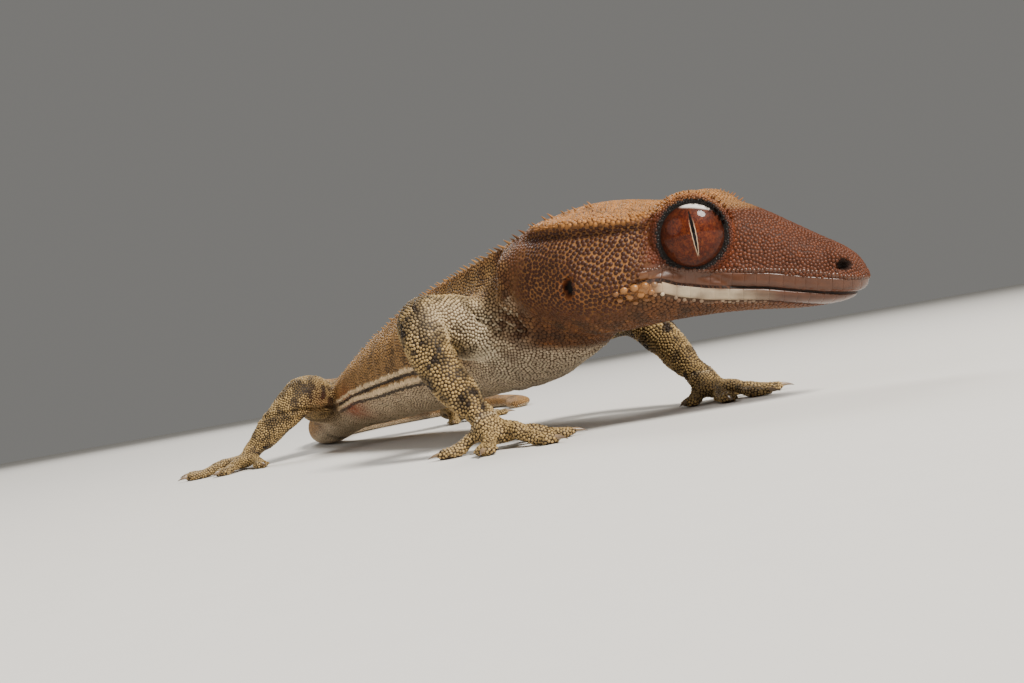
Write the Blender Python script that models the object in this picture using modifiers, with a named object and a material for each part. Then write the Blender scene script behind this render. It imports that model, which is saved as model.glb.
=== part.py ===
"""Crested gecko, a life-size still model.

The animal stands on all fours with its trunk along +X, its head raised and turned to its left, and its tail
laid on the floor behind it. Its flesh is built whole from lofted forms, fused into one skin, and then parted
with thin cuts into head, neck, torso, tail lengths, limbs and feet. The crest spines, lids, mouth line,
nostrils and ear cups are worked into that skin. Lengths below are in millimetres and become metres in MM.
"""

import math
import random

import bmesh
import bpy
import numpy as np
from mathutils import Euler, Matrix, Vector
from mathutils.bvhtree import BVHTree

MM = 0.001
GAP = 0.3

# Driving dimensions
EYE_RADIUS = 4.0
EYE_OUT = 5.4
EYE_FORWARD_TILT = 14.0
EYE_UP_TILT = 2.0
LID_OUTER = 4.55
LID_OPENING = 3.2
LID_FLARE = 3.6
SOLE_SINK = 0.12

# Crest spines: size, how deep the root sits, how freely size and lean vary, and the number on each side
SPINE_LENGTH = 1.15
SPINE_RADIUS = 0.36
SPINE_SINK = 0.45
SPINE_VARIES = 0.22
SPINE_SEED = 7
BROW_SPINES = 13
HEAD_SPINES = 12
BACK_SPINES = 27
BACK_SPINE_START = 7.5
BACK_SPINE_STEP = 1.45

# Height round the trunk, in degrees above its side, of the crest along each side of the back
CREST_ANGLE = 52.0

# The head stands at the eyes' midpoint, turned left, nose down and leaning to its right
HEAD_AT = (49.8, 10.1, 18.85)
HEAD_TURN = 39.0
HEAD_DROOP = 13.2
HEAD_LEAN = 7.0

# Head sections: distance ahead of the eyes, half width, height of the widest line, crown, chin, boxiness
HEAD_SECTIONS = (
    (-21.0, 6.6, -4.6, -1.4, -10.6, 2.1),
    (-17.7, 8.2, -4.6, 0.5, -11.3, 2.2),
    (-14.5, 9.7, -4.6, 2.0, -11.5, 2.4),
    (-11.0, 10.8, -4.7, 3.0, -11.4, 2.6),
    (-8.0, 11.0, -4.8, 3.3, -10.9, 2.7),
    (-5.0, 10.4, -4.8, 3.3, -10.1, 2.7),
    (-2.0, 9.4, -4.9, 3.4, -9.3, 2.7),
    (1.0, 8.4, -4.9, 3.4, -8.7, 2.6),
    (4.0, 7.3, -4.9, 3.3, -8.2, 2.5),
    (7.0, 6.2, -4.9, 2.3, -7.85, 2.4),
    (10.0, 5.2, -5.0, 1.0, -7.65, 2.3),
    (12.5, 4.4, -5.0, -0.1, -7.3, 2.25),
    (15.0, 3.4, -5.0, -1.2, -6.6, 2.2),
    (16.5, 2.2, -4.8, -2.3, -5.9, 2.1),
    (17.3, 0.9, -4.5, -3.4, -5.2, 2.0),
)

# The crest along each side of the crown, and the line of the mouth, in the head's frame
CREST_AHEAD = (-18.0, -14.0, -11.0, -8.5, -5.0, -3.0)
CREST_HEIGHTS = (0.1, 0.7, 1.0, 1.2, 1.5, 2.3)
MOUTH_AHEAD = (-5.2, -3.9, -2.2, -0.5, 2.0, 7.5, 10.4, 13.3, 16.5)
MOUTH_HEIGHTS = (-5.1, -4.45, -4.25, -4.75, -5.0, -5.05, -5.35, -5.6, -5.7)

# Neck, trunk and tail: centre line, half width, rise to the back, drop to the belly, crest height
TRUNK_SECTIONS = (
    (45.5, 6.6, 18.6, 6.2, 4.4, 5.4, 0.3),
    (41.0, 3.4, 17.6, 7.2, 5.6, 6.4, 1.0),
    (36.0, 1.0, 15.6, 7.7, 6.6, 7.5, 1.3),
    (29.5, 0.0, 13.7, 8.3, 7.4, 8.0, 1.3),
    (20.0, 0.0, 12.8, 8.9, 7.6, 7.7, 0.9),
    (10.0, 0.0, 11.8, 9.3, 7.6, 7.3, 0.5),
    (0.0, 0.0, 10.6, 9.3, 7.0, 6.7, 0.3),
    (-10.0, 0.0, 9.3, 8.7, 6.1, 5.9, 0.15),
    (-20.0, 0.0, 8.0, 7.3, 5.1, 5.1, 0.1),
    (-29.0, 0.0, 6.9, 6.0, 4.5, 4.4, 0.05),
    (-37.0, 0.3, 5.4, 4.9, 3.8, 3.9, 0.0),
    (-45.0, 1.0, 3.9, 4.2, 3.3, 3.6, 0.0),
    (-54.0, 3.0, 3.0, 3.5, 2.8, 3.1, 0.0),
    (-64.0, 7.5, 2.7, 3.1, 2.4, 2.8, 0.0),
    (-73.0, 15.0, 2.4, 2.8, 2.1, 2.5, 0.0),
    (-78.0, 25.5, 2.1, 2.5, 1.9, 2.2, 0.0),
    (-76.0, 37.0, 1.9, 2.2, 1.7, 2.0, 0.0),
    (-67.5, 44.5, 1.6, 1.9, 1.5, 1.7, 0.0),
    (-57.5, 46.0, 1.3, 1.9, 1.2, 1.4, 0.0),
    (-49.5, 43.2, 1.1, 2.5, 0.95, 1.2, 0.0),
    (-44.5, 40.0, 1.0, 2.3, 0.8, 1.1, 0.0),
    (-42.2, 38.2, 0.9, 1.0, 0.6, 0.9, 0.0),
)

# Limbs: joints from the root inside the trunk to the wrist or ankle, each with its flesh radius
LIMBS = {
    "foreleg_right": ((29.5, -3.5, 12.8, 4.0), (31.0, -9.6, 13.4, 3.6), (33.0, -16.0, 14.2, 2.75),
                      (35.4, -16.4, 10.2, 2.35), (37.6, -14.6, 5.0, 1.8)),
    "foreleg_left": ((28.2, 3.5, 12.4, 4.0), (27.2, 9.8, 12.4, 3.4), (27.0, 16.4, 12.2, 2.7),
                     (31.4, 17.4, 8.7, 2.3), (36.2, 17.0, 4.4, 1.75)),
    "hind_leg_right": ((-30.5, -2.0, 7.0, 4.0), (-25.2, -7.6, 8.1, 3.6), (-18.8, -13.4, 9.1, 2.8),
                       (-19.2, -16.9, 6.3, 2.3), (-19.8, -20.2, 3.5, 1.75)),
    "hind_leg_left": ((-30.5, 2.0, 7.0, 4.0), (-26.2, 7.6, 7.9, 3.6), (-20.4, 13.8, 8.9, 2.8),
                      (-24.8, 15.6, 6.1, 2.3), (-29.4, 16.8, 3.5, 1.75)),
}
WRIST = 4
WRIST_CUT = 0.12

# Where each limb is cut from the trunk: a point of the cut, its axis and its radius
ROOT_CUTS = {
    "foreleg_right": ((31.3, -10.4, 13.5), (0.3, -1.0, 0.12), 6.2),
    "foreleg_left": ((27.2, 10.7, 12.4), (-0.05, 1.0, 0.0), 6.0),
    "hind_leg_right": ((-23.6, -9.1, 8.2), (-0.1, -1.0, 0.1), 7.0),
    "hind_leg_left": ((-24.6, 9.1, 8.0), (-0.1, 1.0, 0.1), 7.0),
}

# Feet: palm centre, facing in degrees from +X, each digit's fan angle and length, palm height
FEET = {
    "foreleg_right": ((39.3, -12.9, 2.4), 0.0, ((104, 5.2), (58, 7.4), (16, 7.6), (-42, 6.2), (-106, 5.6)), 3.2),
    "foreleg_left": ((39.0, 17.2, 2.2), 14.0, ((-88, 5.2), (-42, 7.2), (-6, 7.8), (36, 7.6), (88, 6.0)), 2.8),
    "hind_leg_right": ((-20.6, -21.8, 2.0), -92.0, ((92, 5.6), (44, 7.8), (6, 8.8), (-34, 9.0), (-84, 7.0)), 2.6),
    "hind_leg_left": ((-31.4, 18.8, 2.0), 62.0, ((-92, 5.6), (-44, 7.8), (-6, 8.8), (34, 9.0), (84, 7.0)), 2.6),
}
PALM_HALF = 2.7
DIGIT_NARROW = 0.85
PAD_HALF = 1.35
PAD_THICK = 0.62
CLAW_LENGTH = 1.1

# Cuts that part the body: the node on each side meets across GAP. Point, direction of the cut's axis, radius
BODY_CUTS = {
    "head": ((36.6, 1.0, 18.3), (0.90, 0.39, -0.12), 15.0),
    "neck": ((33.6, 0.0, 14.6), (0.98, 0.16, 0.04), 11.0),
    "tail_base": ((-37.0, 0.3, 5.4), (1.0, -0.06, 0.2), 8.0),
    "tail_middle": ((-61.0, 5.9, 2.8), (0.88, -0.46, 0.0), 6.0),
    "tail_tip": ((-77.9, 29.0, 2.0), (0.02, -1.0, 0.0), 6.0),
}
BODY_NAMES = {
    "head": (52.0, 11.0, 17.0),
    "neck": (35.2, 0.4, 15.5),
    "torso": (0.0, 0.0, 11.0),
    "tail_base": (-49.0, 1.6, 3.4),
    "tail_middle": (-73.0, 15.0, 2.4),
    "tail_tip": (-62.0, 45.0, 1.5),
}

VOXEL = 0.38
BLEND_ROUNDS = 4
SKIN_TRIANGLES = 7000
COARSE_COST = 6e-6

COLOURS = {
    "skin": ((0.20, 0.105, 0.060, 1.0), 0.62),
    "eye": ((0.22, 0.055, 0.022, 1.0), 0.12),
}


def clear_scene():
    for obj in list(bpy.data.objects):
        bpy.data.objects.remove(obj, do_unlink=True)


def material(name):
    colour, roughness = COLOURS[name]
    made = bpy.data.materials.new(name)
    made.use_nodes = True
    shader = made.node_tree.nodes["Principled BSDF"]
    shader.inputs["Base Color"].default_value = colour
    shader.inputs["Roughness"].default_value = roughness
    return made


def smooth_rows(rows, count):
    """The rows of a table read along a smooth curve through them, spaced by the distance between centres."""
    table = np.array(rows, float)
    steps = np.linalg.norm(np.diff(table[:, :3], axis=0), axis=1)
    along = np.concatenate([[0.0], np.cumsum(steps)])
    slopes = np.gradient(table, along, axis=0)
    read = np.linspace(0.0, along[-1], count)
    at = np.clip(np.searchsorted(along, read, side="right") - 1, 0, len(table) - 2)
    span = (along[at + 1] - along[at])[:, None]
    t = ((read - along[at])[:, None]) / span
    start, end = table[at], table[at + 1]
    return (
        (2 * t**3 - 3 * t**2 + 1) * start
        + (t**3 - 2 * t**2 + t) * span * slopes[at]
        + (3 * t**2 - 2 * t**3) * end
        + (t**3 - t**2) * span * slopes[at + 1]
    )


def frames(centres, up_hint):
    """Side and up directions across a centre line, square to its run."""
    run = np.gradient(centres, axis=0)
    run /= np.linalg.norm(run, axis=1)[:, None]
    side = np.cross(np.broadcast_to(up_hint, run.shape), run)
    side /= np.linalg.norm(side, axis=1)[:, None]
    return side, np.cross(run, side)


def signed_power(value, power):
    return np.sign(value) * np.abs(value) ** power


def mesh_object(name, rings, collection):
    """A closed mesh from rings of points, one ring to a row, with each end drawn to its middle."""
    count, sides = rings.shape[:2]
    points = np.concatenate([rings.reshape(-1, 3), rings[:1].mean(axis=1), rings[-1:].mean(axis=1)])
    here = np.arange(count * sides).reshape(count, sides)
    after = np.roll(here, -1, axis=1)
    quads = np.stack([here[:-1], after[:-1], after[1:], here[1:]], axis=-1).reshape(-1, 4)
    first, last = count * sides, count * sides + 1
    start_cap = [(first, b, a) for a, b in zip(here[0].tolist(), after[0].tolist())]
    end_cap = [(last, a, b) for a, b in zip(here[-1].tolist(), after[-1].tolist())]
    mesh = bpy.data.meshes.new(name)
    mesh.from_pydata((points * MM).tolist(), [], quads.tolist() + start_cap + end_cap)
    work = bmesh.new()
    work.from_mesh(mesh)
    bmesh.ops.recalc_face_normals(work, faces=work.faces)
    work.to_mesh(mesh)
    work.free()
    obj = bpy.data.objects.new(name, mesh)
    collection.objects.link(obj)
    return obj


def head_matrix():
    """From the head's own frame, in millimetres with +X to the snout and +Y to its left, to the model's."""
    turn = Euler((math.radians(HEAD_LEAN), math.radians(HEAD_DROOP), math.radians(HEAD_TURN)), "XYZ")
    return Matrix.Translation(Vector(HEAD_AT)) @ turn.to_matrix().to_4x4()


def to_model(points, matrix):
    array = np.array(matrix)
    return np.asarray(points, float) @ array[:3, :3].T + array[:3, 3]


def near(points, centre, spread):
    """1 at the centre, falling off smoothly over the spread in each direction."""
    return np.exp(-(((points - np.array(centre)) / np.array(spread)) ** 2).sum(axis=-1))


def head_rings(count=64, sides=72):
    """Head sections: boxy above the lips, where crests corner the crown, and rounded below them."""
    rows = np.array([(x, 0.0, 0.0, w, mid, crown, chin, box) for x, w, mid, crown, chin, box in HEAD_SECTIONS])
    rows = smooth_rows(rows, count)
    angle = np.linspace(0.0, 2 * math.pi, sides, endpoint=False)
    across, upward = np.cos(angle)[None, :], np.sin(angle)[None, :]
    half, mid, crown, chin, box = (rows[:, i : i + 1] for i in range(3, 8))
    y = half * signed_power(across, 2 / box)
    above = mid + (crown - mid) * np.abs(upward) ** (2 / box)
    below = mid + (chin - mid) * np.abs(upward)
    z = np.where(upward > 0, above, below)
    points = np.stack([np.broadcast_to(rows[:, :1], y.shape), y, z], axis=-1)
    return head_forms(points)


def head_forms(points):
    """The brows, crests, cheeks, snout pad and lips raised on the plain head."""
    side = np.where(points[..., 1] < 0, -1.0, 1.0)
    both = points * np.stack([np.ones_like(side), side, np.ones_like(side)], axis=-1)
    out = np.zeros_like(both)
    x, y, z = both[..., 0], both[..., 1], both[..., 2]
    crest_height = np.interp(x, CREST_AHEAD, CREST_HEIGHTS)
    along_crest = np.clip((-1.5 - x) / 3.0, 0.0, 1.0) * np.clip((x + 21.0) / 4.0, 0.0, 1.0)
    on_crest = np.exp(-(((z - crest_height) / 0.7) ** 2)) * (y > 3.5) * along_crest
    out[..., 1] += 0.75 * on_crest
    out[..., 2] += 0.35 * on_crest
    brow = near(both, (2.6, 6.0, 3.8), (3.4, 2.0, 1.8))
    out[..., 1] += 0.3 * brow
    out[..., 2] += 0.15 * brow
    temple = near(both, (-7.5, 9.8, -1.4), (3.4, 3.0, 1.6))
    out[..., 1] -= 0.55 * temple
    jaw_muscle = near(both, (-9.5, 9.5, -5.4), (3.4, 3.0, 2.8))
    out[..., 1] += 0.5 * jaw_muscle
    hollow = near(both, (6.8, 5.8, -0.6), (2.6, 2.0, 1.7))
    out[..., 1] -= 0.4 * hollow
    nose = near(both, (15.0, 2.8, -2.4), (1.3, 1.4, 1.2))
    out[..., 1] += 0.4 * nose
    out[..., 2] += 0.3 * nose
    lip = np.exp(-(((z - lip_level(x)) / 0.8) ** 2)) * np.clip((x + 6.0) / 3.0, 0.0, 1.0)
    out[..., 1] += 0.3 * lip * np.clip(y / 2.0, 0.0, 1.0)
    out[..., 1] *= side
    return points + out


def lip_level(ahead):
    """Height of the mouth line in the head's frame."""
    return np.interp(ahead, MOUTH_AHEAD, MOUTH_HEIGHTS)


def trunk_rings(count=150, sides=48):
    """Trunk sections with a pair of low crests along the back and a fold along each flank."""
    rows = smooth_rows(TRUNK_SECTIONS, count)
    side_way, up_way = frames(rows[:, :3], (0.0, 0.0, 1.0))
    angle = np.linspace(0.0, 2 * math.pi, sides, endpoint=False)[None, :]
    half, rise, drop, crest = (rows[:, i : i + 1] for i in range(3, 7))
    across = signed_power(np.cos(angle), 0.92)
    upward = signed_power(np.sin(angle), 0.92)
    for centre in (math.radians(CREST_ANGLE), math.radians(180.0 - CREST_ANGLE)):
        ridge = crest * np.exp(-(((angle - centre) / 0.16) ** 2))
        across = across + ridge * np.cos(centre) / half
        upward = upward + ridge * np.sin(centre) / rise
    y = half * across
    z = np.where(upward > 0, rise, drop) * upward
    return rows[:, None, :3] + y[..., None] * side_way[:, None] + z[..., None] * up_way[:, None]


def limb_rings(joints, count=36, sides=20):
    rows = smooth_rows(joints, count)
    side_way, up_way = frames(rows[:, :3], (0.35, 0.25, 0.9) if joints[1][1] > 0 else (0.35, -0.25, 0.9))
    angle = np.linspace(0.0, 2 * math.pi, sides, endpoint=False)[None, :, None]
    reach = rows[:, None, 3:4]
    return rows[:, None, :3] + reach * (np.cos(angle) * side_way[:, None] + np.sin(angle) * up_way[:, None])


def flat_rings(rows, sides=20, count=22):
    """A flattened form: each row is a centre, a half width and a half thickness."""
    rows = smooth_rows(rows, count)
    side_way, up_way = frames(rows[:, :3], (0.0, 0.0, 1.0))
    angle = np.linspace(0.0, 2 * math.pi, sides, endpoint=False)[None, :, None]
    wide = rows[:, None, 3:4] * np.cos(angle) * side_way[:, None]
    thick = rows[:, None, 4:5] * np.sin(angle) * up_way[:, None]
    return rows[:, None, :3] + wide + thick


def palm_rows(limb):
    """From inside the wrist to the far edge of the palm."""
    palm, facing, _, height = FEET[limb]
    palm = np.array(palm)
    wrist = np.array(LIMBS[limb][WRIST][:3])
    way = np.array((math.cos(math.radians(facing)), math.sin(math.radians(facing)), 0.0))
    end = palm + way * PALM_HALF * 0.9
    return (
        (*wrist, 1.5, 1.4),
        (*(wrist * 0.45 + palm * 0.55 + np.array((0, 0, 0.1))), 2.1, 1.3),
        (*(palm * (1, 1, 0) + (0, 0, height * 0.62)), PALM_HALF, 1.15),
        (*(end * (1, 1, 0) + (0, 0, height * 0.38)), PALM_HALF * 0.75, 0.8),
    )


def digit_rows(limb, fan, length):
    """A digit from inside the palm: a narrow arched shaft, then a broad flat pad with its sole on the floor."""
    palm, facing, _, height = FEET[limb]
    turn = math.radians(facing + fan)
    way = np.array((math.cos(turn), math.sin(turn), 0.0))
    root = np.array(palm) * (1, 1, 0) + (0, 0, height * 0.52)
    sole = PAD_THICK - SOLE_SINK
    bend = root + way * length * 0.42
    return (
        (*(root + way * 0.3), 1.05, 0.95),
        (*(bend * (1, 1, 0) + (0, 0, height * 0.52)), DIGIT_NARROW, DIGIT_NARROW),
        (*(root * (1, 1, 0) + way * length * 0.66 + (0, 0, sole + 0.35)), 1.0, 0.72),
        (*(root * (1, 1, 0) + way * length * 0.86 + (0, 0, sole)), PAD_HALF, PAD_THICK),
        (*(root * (1, 1, 0) + way * length * 1.02 + (0, 0, sole)), PAD_HALF * 0.92, PAD_THICK),
        (*(root * (1, 1, 0) + way * length * 1.14 + (0, 0, sole)), 0.5, 0.45),
    )


def fused_flesh(collection):
    """One skin over every lofted form, blended where they meet and standing flat on the floor."""
    pieces = [
        mesh_object("head_form", to_model(head_rings(), head_matrix()), collection),
        mesh_object("trunk_form", trunk_rings(), collection),
    ]
    for limb, joints in LIMBS.items():
        pieces.append(mesh_object(limb + "_form", limb_rings(joints), collection))
        pieces.append(mesh_object(limb + "_palm", flat_rings(palm_rows(limb)), collection))
        for fan, length in FEET[limb][2]:
            pieces.append(mesh_object(limb + "_digit", flat_rings(digit_rows(limb, fan, length)), collection))
    for side in (-1, 1):
        pieces.append(ball("lid_form", eye_centre(side), LID_OUTER, collection, segments=32))
    flesh = pieces[0]
    with bpy.context.temp_override(active_object=flesh, selected_editable_objects=pieces):
        bpy.ops.object.join()
    flesh.name = "flesh"
    remesh = flesh.modifiers.new("fuse", "REMESH")
    remesh.mode = "VOXEL"
    remesh.voxel_size = VOXEL * MM
    blend = flesh.modifiers.new("blend", "SMOOTH")
    blend.factor = 0.5
    blend.iterations = BLEND_ROUNDS
    keep_evaluated(flesh)
    thin = flesh.modifiers.new("thin", "DECIMATE")
    thin.ratio = SKIN_TRIANGLES / (2 * len(flesh.data.polygons))
    guard = flesh.vertex_groups.new(name="coarse")
    points = np.empty(len(flesh.data.vertices) * 3)
    flesh.data.vertices.foreach_get("co", points)
    level = np.ceil(10 * coarseness(points.reshape(-1, 3) / MM)).astype(int)
    for step in range(1, 11):
        guard.add(np.nonzero(level == step)[0].tolist(), step / 10, "REPLACE")
    thin.vertex_group = "coarse"
    thin.vertex_group_factor = COARSE_COST
    keep_evaluated(flesh)
    flatten_soles(flesh)
    return flesh


def coarseness(points):
    """How freely the skin is thinned, from the fine head and feet to the plain trunk and tail."""
    fine = 0.75 * near(points, HEAD_AT, (17.0, 17.0, 15.0))
    for limb, joints in LIMBS.items():
        fine = np.maximum(fine, 0.9 * near(points, FEET[limb][0], (12.0, 12.0, 5.0)))
        for joint in joints[2:]:
            fine = np.maximum(fine, 0.6 * near(points, joint[:3], (6.0, 6.0, 6.0)))
    return np.clip(1.0 - fine, 0.1, 1.0)


def keep_evaluated(obj):
    """Replaces the object's mesh with what its modifiers make of it."""
    graph = bpy.context.evaluated_depsgraph_get()
    mesh = bpy.data.meshes.new_from_object(obj.evaluated_get(graph))
    obj.modifiers.clear()
    old = obj.data
    obj.data = mesh
    bpy.data.meshes.remove(old)


def flatten_soles(flesh):
    """Cuts everything off at the floor, which leaves a flat under each pad and under the tail."""
    work = bmesh.new()
    work.from_mesh(flesh.data)
    geometry = [*work.verts, *work.edges, *work.faces]
    cut = bmesh.ops.bisect_plane(
        work, geom=geometry, dist=1e-7, plane_co=(0, 0, 0), plane_no=(0, 0, -1), clear_outer=True
    )
    rim = [item for item in cut["geom_cut"] if isinstance(item, bmesh.types.BMEdge)]
    bmesh.ops.triangle_fill(work, edges=rim, use_beauty=True, normal=(0, 0, -1))
    bmesh.ops.triangulate(work, faces=work.faces)
    bmesh.ops.recalc_face_normals(work, faces=work.faces)
    work.to_mesh(flesh.data)
    work.free()


def surface_of(obj):
    return BVHTree.FromObject(obj, bpy.context.evaluated_depsgraph_get())


def on_surface(tree, point, way):
    """Where a line from outside, run inwards against way, first meets the surface, and the normal there."""
    start = (Vector(point) + Vector(way).normalized() * 12.0) * MM
    spot, normal, _, _ = tree.ray_cast(start, -Vector(way).normalized())
    return (spot, normal) if spot else tree.find_nearest(Vector(point) * MM)[:2]


def cone(name, base, way, radius, length, collection, sides=4):
    """A spine or claw whose root is sunk in its bearer."""
    mesh = bpy.data.meshes.new(name)
    work = bmesh.new()
    bmesh.ops.create_cone(
        work, cap_ends=True, segments=sides, radius1=radius * MM, radius2=0.0, depth=length * MM
    )
    work.to_mesh(mesh)
    work.free()
    obj = bpy.data.objects.new(name, mesh)
    turn = Vector(way).to_track_quat("Z", "Y").to_matrix().to_4x4()
    middle = Vector(base) + Vector(way).normalized() * (length * 0.5 * MM)
    obj.data.transform(Matrix.Translation(middle) @ turn)
    collection.objects.link(obj)


def crest_targets():
    """Root point, outward direction and size of every spine on both sides, from brow to mid back."""
    matrix = head_matrix()
    turn = matrix.to_3x3()
    spines = []
    for side in (-1, 1):
        for sweep in np.radians(np.linspace(160.0, 20.0, BROW_SPINES)).tolist():
            local = Vector((0.2 + 4.8 * math.cos(sweep), side * 7.4, 0.3 + 4.3 * math.sin(sweep)))
            way = turn @ Vector((0.25 * math.cos(sweep), side * 0.75, 0.9))
            spines.append((matrix @ local, way, 0.78 + 0.14 * math.cos(sweep)))
        for step in np.linspace(0.0, 1.0, HEAD_SPINES).tolist():
            local = Vector((-5.4 - 12.8 * step, side * (8.8 + 0.9 * math.sin(3.6 * step)), 3.0 - 1.8 * step))
            spines.append((matrix @ local, turn @ Vector((-0.25, side * 0.8, 0.55)), 0.9))
    rows = smooth_rows(TRUNK_SECTIONS, 200)
    side_way, up_way = frames(rows[:, :3], (0.0, 0.0, 1.0))
    run = np.concatenate([[0.0], np.cumsum(np.linalg.norm(np.diff(rows[:, :3], axis=0), axis=1))])
    across, above = math.cos(math.radians(CREST_ANGLE)), math.sin(math.radians(CREST_ANGLE))
    for side in (-1, 1):
        for step in range(BACK_SPINES):
            at = int(np.searchsorted(run, BACK_SPINE_START + step * BACK_SPINE_STEP))
            out = -side * across * side_way[at] + above * up_way[at]
            spot = rows[at, :3] + out * rows[at, 3]
            spines.append((Vector(spot), Vector(out) + Vector((-0.35, 0.0, 0.0)), 0.95 - 0.3 * step / BACK_SPINES))
    return spines


def add_spines(tree, collection):
    """Sets each spine square to the skin and leaning back, none quite like the next."""
    draw = random.Random(SPINE_SEED)
    for point, way, size in crest_targets():
        spot, normal = on_surface(tree, point, way)
        stray = Vector((draw.uniform(-1, 1), draw.uniform(-1, 1), draw.uniform(-1, 1))) * SPINE_VARIES
        lean = (normal * 0.7 + way.normalized() + stray).normalized()
        length = SPINE_LENGTH * size * (1 + draw.uniform(-1, 1) * SPINE_VARIES)
        base = spot - lean * SPINE_SINK * MM
        cone("spine", base, lean, SPINE_RADIUS * size, length + SPINE_SINK, collection)


def add_claws(collection):
    """A short hooked claw ahead of each pad."""
    for limb, (_, facing, digits, _) in FEET.items():
        for fan, length in digits:
            tip = np.array(digit_rows(limb, fan, length)[-1][:3])
            turn = math.radians(facing + fan)
            way = Vector((math.cos(turn), math.sin(turn), -0.10))
            base = Vector(tip - np.array(way) * 0.55 + np.array((0.0, 0.0, 0.12))) * MM
            cone("claw", base, way, 0.36, CLAW_LENGTH + 0.55, collection)


def eye_centre(side):
    return head_matrix() @ Vector((0.0, side * EYE_OUT, 0.0))


def eye_way(side):
    tilt, lift = math.radians(EYE_FORWARD_TILT), math.radians(EYE_UP_TILT)
    local = Vector((math.sin(tilt), side * math.cos(tilt) * math.cos(lift), math.sin(lift)))
    return (head_matrix().to_3x3() @ local).normalized()


def ball(name, centre, radius, collection, stretch=(1.0, 1.0, 1.0), way=(0.0, 0.0, 1.0), segments=24):
    mesh = bpy.data.meshes.new(name)
    work = bmesh.new()
    bmesh.ops.create_uvsphere(work, u_segments=segments, v_segments=segments // 2, radius=radius * MM)
    work.to_mesh(mesh)
    work.free()
    turn = Vector(way).to_track_quat("Z", "Y").to_matrix().to_4x4()
    shape = Matrix.Diagonal((*stretch, 1.0))
    mesh.transform(Matrix.Translation(Vector(centre) * MM) @ turn @ shape)
    obj = bpy.data.objects.new(name, mesh)
    collection.objects.link(obj)
    return obj


def lid_opening(side, collection):
    """A short cone that opens the lids over the middle of the eye."""
    way = eye_way(side)
    inner = math.sqrt(EYE_RADIUS**2 - LID_OPENING**2)
    outer = LID_OUTER + 1.0
    mesh = bpy.data.meshes.new("opening")
    work = bmesh.new()
    bmesh.ops.create_cone(
        work, cap_ends=True, segments=32, depth=(outer - inner) * MM,
        radius1=LID_OPENING * MM, radius2=(LID_FLARE + 0.5) * MM,
    )
    work.to_mesh(mesh)
    work.free()
    turn = way.to_track_quat("Z", "Y").to_matrix().to_4x4()
    mesh.transform(Matrix.Translation((eye_centre(side) + way * (inner + outer) * 0.5) * MM) @ turn)
    collection.objects.link(bpy.data.objects.new("opening", mesh))


def mouth_points(count=35):
    """The lip line in the head's frame: from one mouth corner round the snout to the other."""
    sweep = np.linspace(-1.0, 1.0, count)
    ahead = 16.6 - 21.6 * np.abs(sweep) ** 1.6
    across = 11.5 * np.sin(sweep * math.pi / 2)
    return np.stack([ahead, across, lip_level(ahead)], axis=1)


def add_mouth_cutter(tree, collection):
    """A fine tube laid on the skin along the lips, which cuts the mouth line."""
    matrix = head_matrix()
    turn = matrix.to_3x3()
    curve = bpy.data.curves.new("mouth", "CURVE")
    curve.dimensions = "3D"
    curve.bevel_depth = 0.26 * MM
    curve.bevel_resolution = 1
    curve.use_fill_caps = True
    line = curve.splines.new("POLY")
    places = mouth_points()
    line.points.add(len(places) - 1)
    for point, local in zip(line.points, places):
        outward = Vector((max(local[0] - 4.0, 0.0) * 0.35, local[1], 0.0)).normalized()
        spot, _ = on_surface(tree, matrix @ Vector((local[0], local[1] * 0.2, local[2])), turn @ outward)
        point.co = (*(spot + turn @ outward * 0.02 * MM), 1.0)
    route = bpy.data.objects.new("mouth_route", curve)
    collection.objects.link(route)
    graph = bpy.context.evaluated_depsgraph_get()
    mesh = bpy.data.meshes.new_from_object(route.evaluated_get(graph))
    work = bmesh.new()
    work.from_mesh(mesh)
    bmesh.ops.remove_doubles(work, verts=work.verts, dist=1e-6)
    bmesh.ops.recalc_face_normals(work, faces=work.faces)
    work.to_mesh(mesh)
    work.free()
    cutter = bpy.data.objects.new("mouth_cutter", mesh)
    collection.objects.link(cutter)
    bpy.data.objects.remove(route, do_unlink=True)


def add_face_cutters(tree, collection):
    """Eye sockets, nostrils and ear cups."""
    matrix = head_matrix()
    turn = matrix.to_3x3()
    for side in (-1, 1):
        ball("socket", eye_centre(side), EYE_RADIUS + GAP, collection, segments=28)
        lid_opening(side, collection)
        way = turn @ Vector((0.45, side, 0.35))
        spot, _ = on_surface(tree, matrix @ Vector((14.3, side * 1.2, -2.3)), way)
        ball("nostril", spot / MM, 0.55, collection, (1.0, 0.8, 1.3), way, 10)
        way = turn @ Vector((-0.15, side, 0.0))
        spot, _ = on_surface(tree, matrix @ Vector((-11.3, side * 4.0, -5.4)), way)
        ball("ear_cup", spot / MM, 0.9, collection, (0.6, 1.2, 0.9), way, 12)
    add_mouth_cutter(tree, collection)


def boolean(target, collection, operation):
    """One Boolean on everything in the collection, applied, with the operands then removed."""
    modifier = target.modifiers.new(operation.lower(), "BOOLEAN")
    modifier.operation = operation
    modifier.operand_type = "COLLECTION"
    modifier.collection = collection
    modifier.solver = "EXACT"
    keep_evaluated(target)
    for obj in list(collection.objects):
        bpy.data.objects.remove(obj, do_unlink=True)


def slab(point, way, radius, collection):
    """A thin round cutter that parts two nodes by the gap."""
    mesh = bpy.data.meshes.new("slab")
    work = bmesh.new()
    bmesh.ops.create_cone(
        work, cap_ends=True, segments=24, radius1=radius * MM, radius2=radius * MM, depth=GAP * MM
    )
    work.to_mesh(mesh)
    work.free()
    turn = Vector(way).to_track_quat("Z", "Y").to_matrix().to_4x4()
    mesh.transform(Matrix.Translation(Vector(point) * MM) @ turn)
    obj = bpy.data.objects.new("slab", mesh)
    collection.objects.link(obj)


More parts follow.
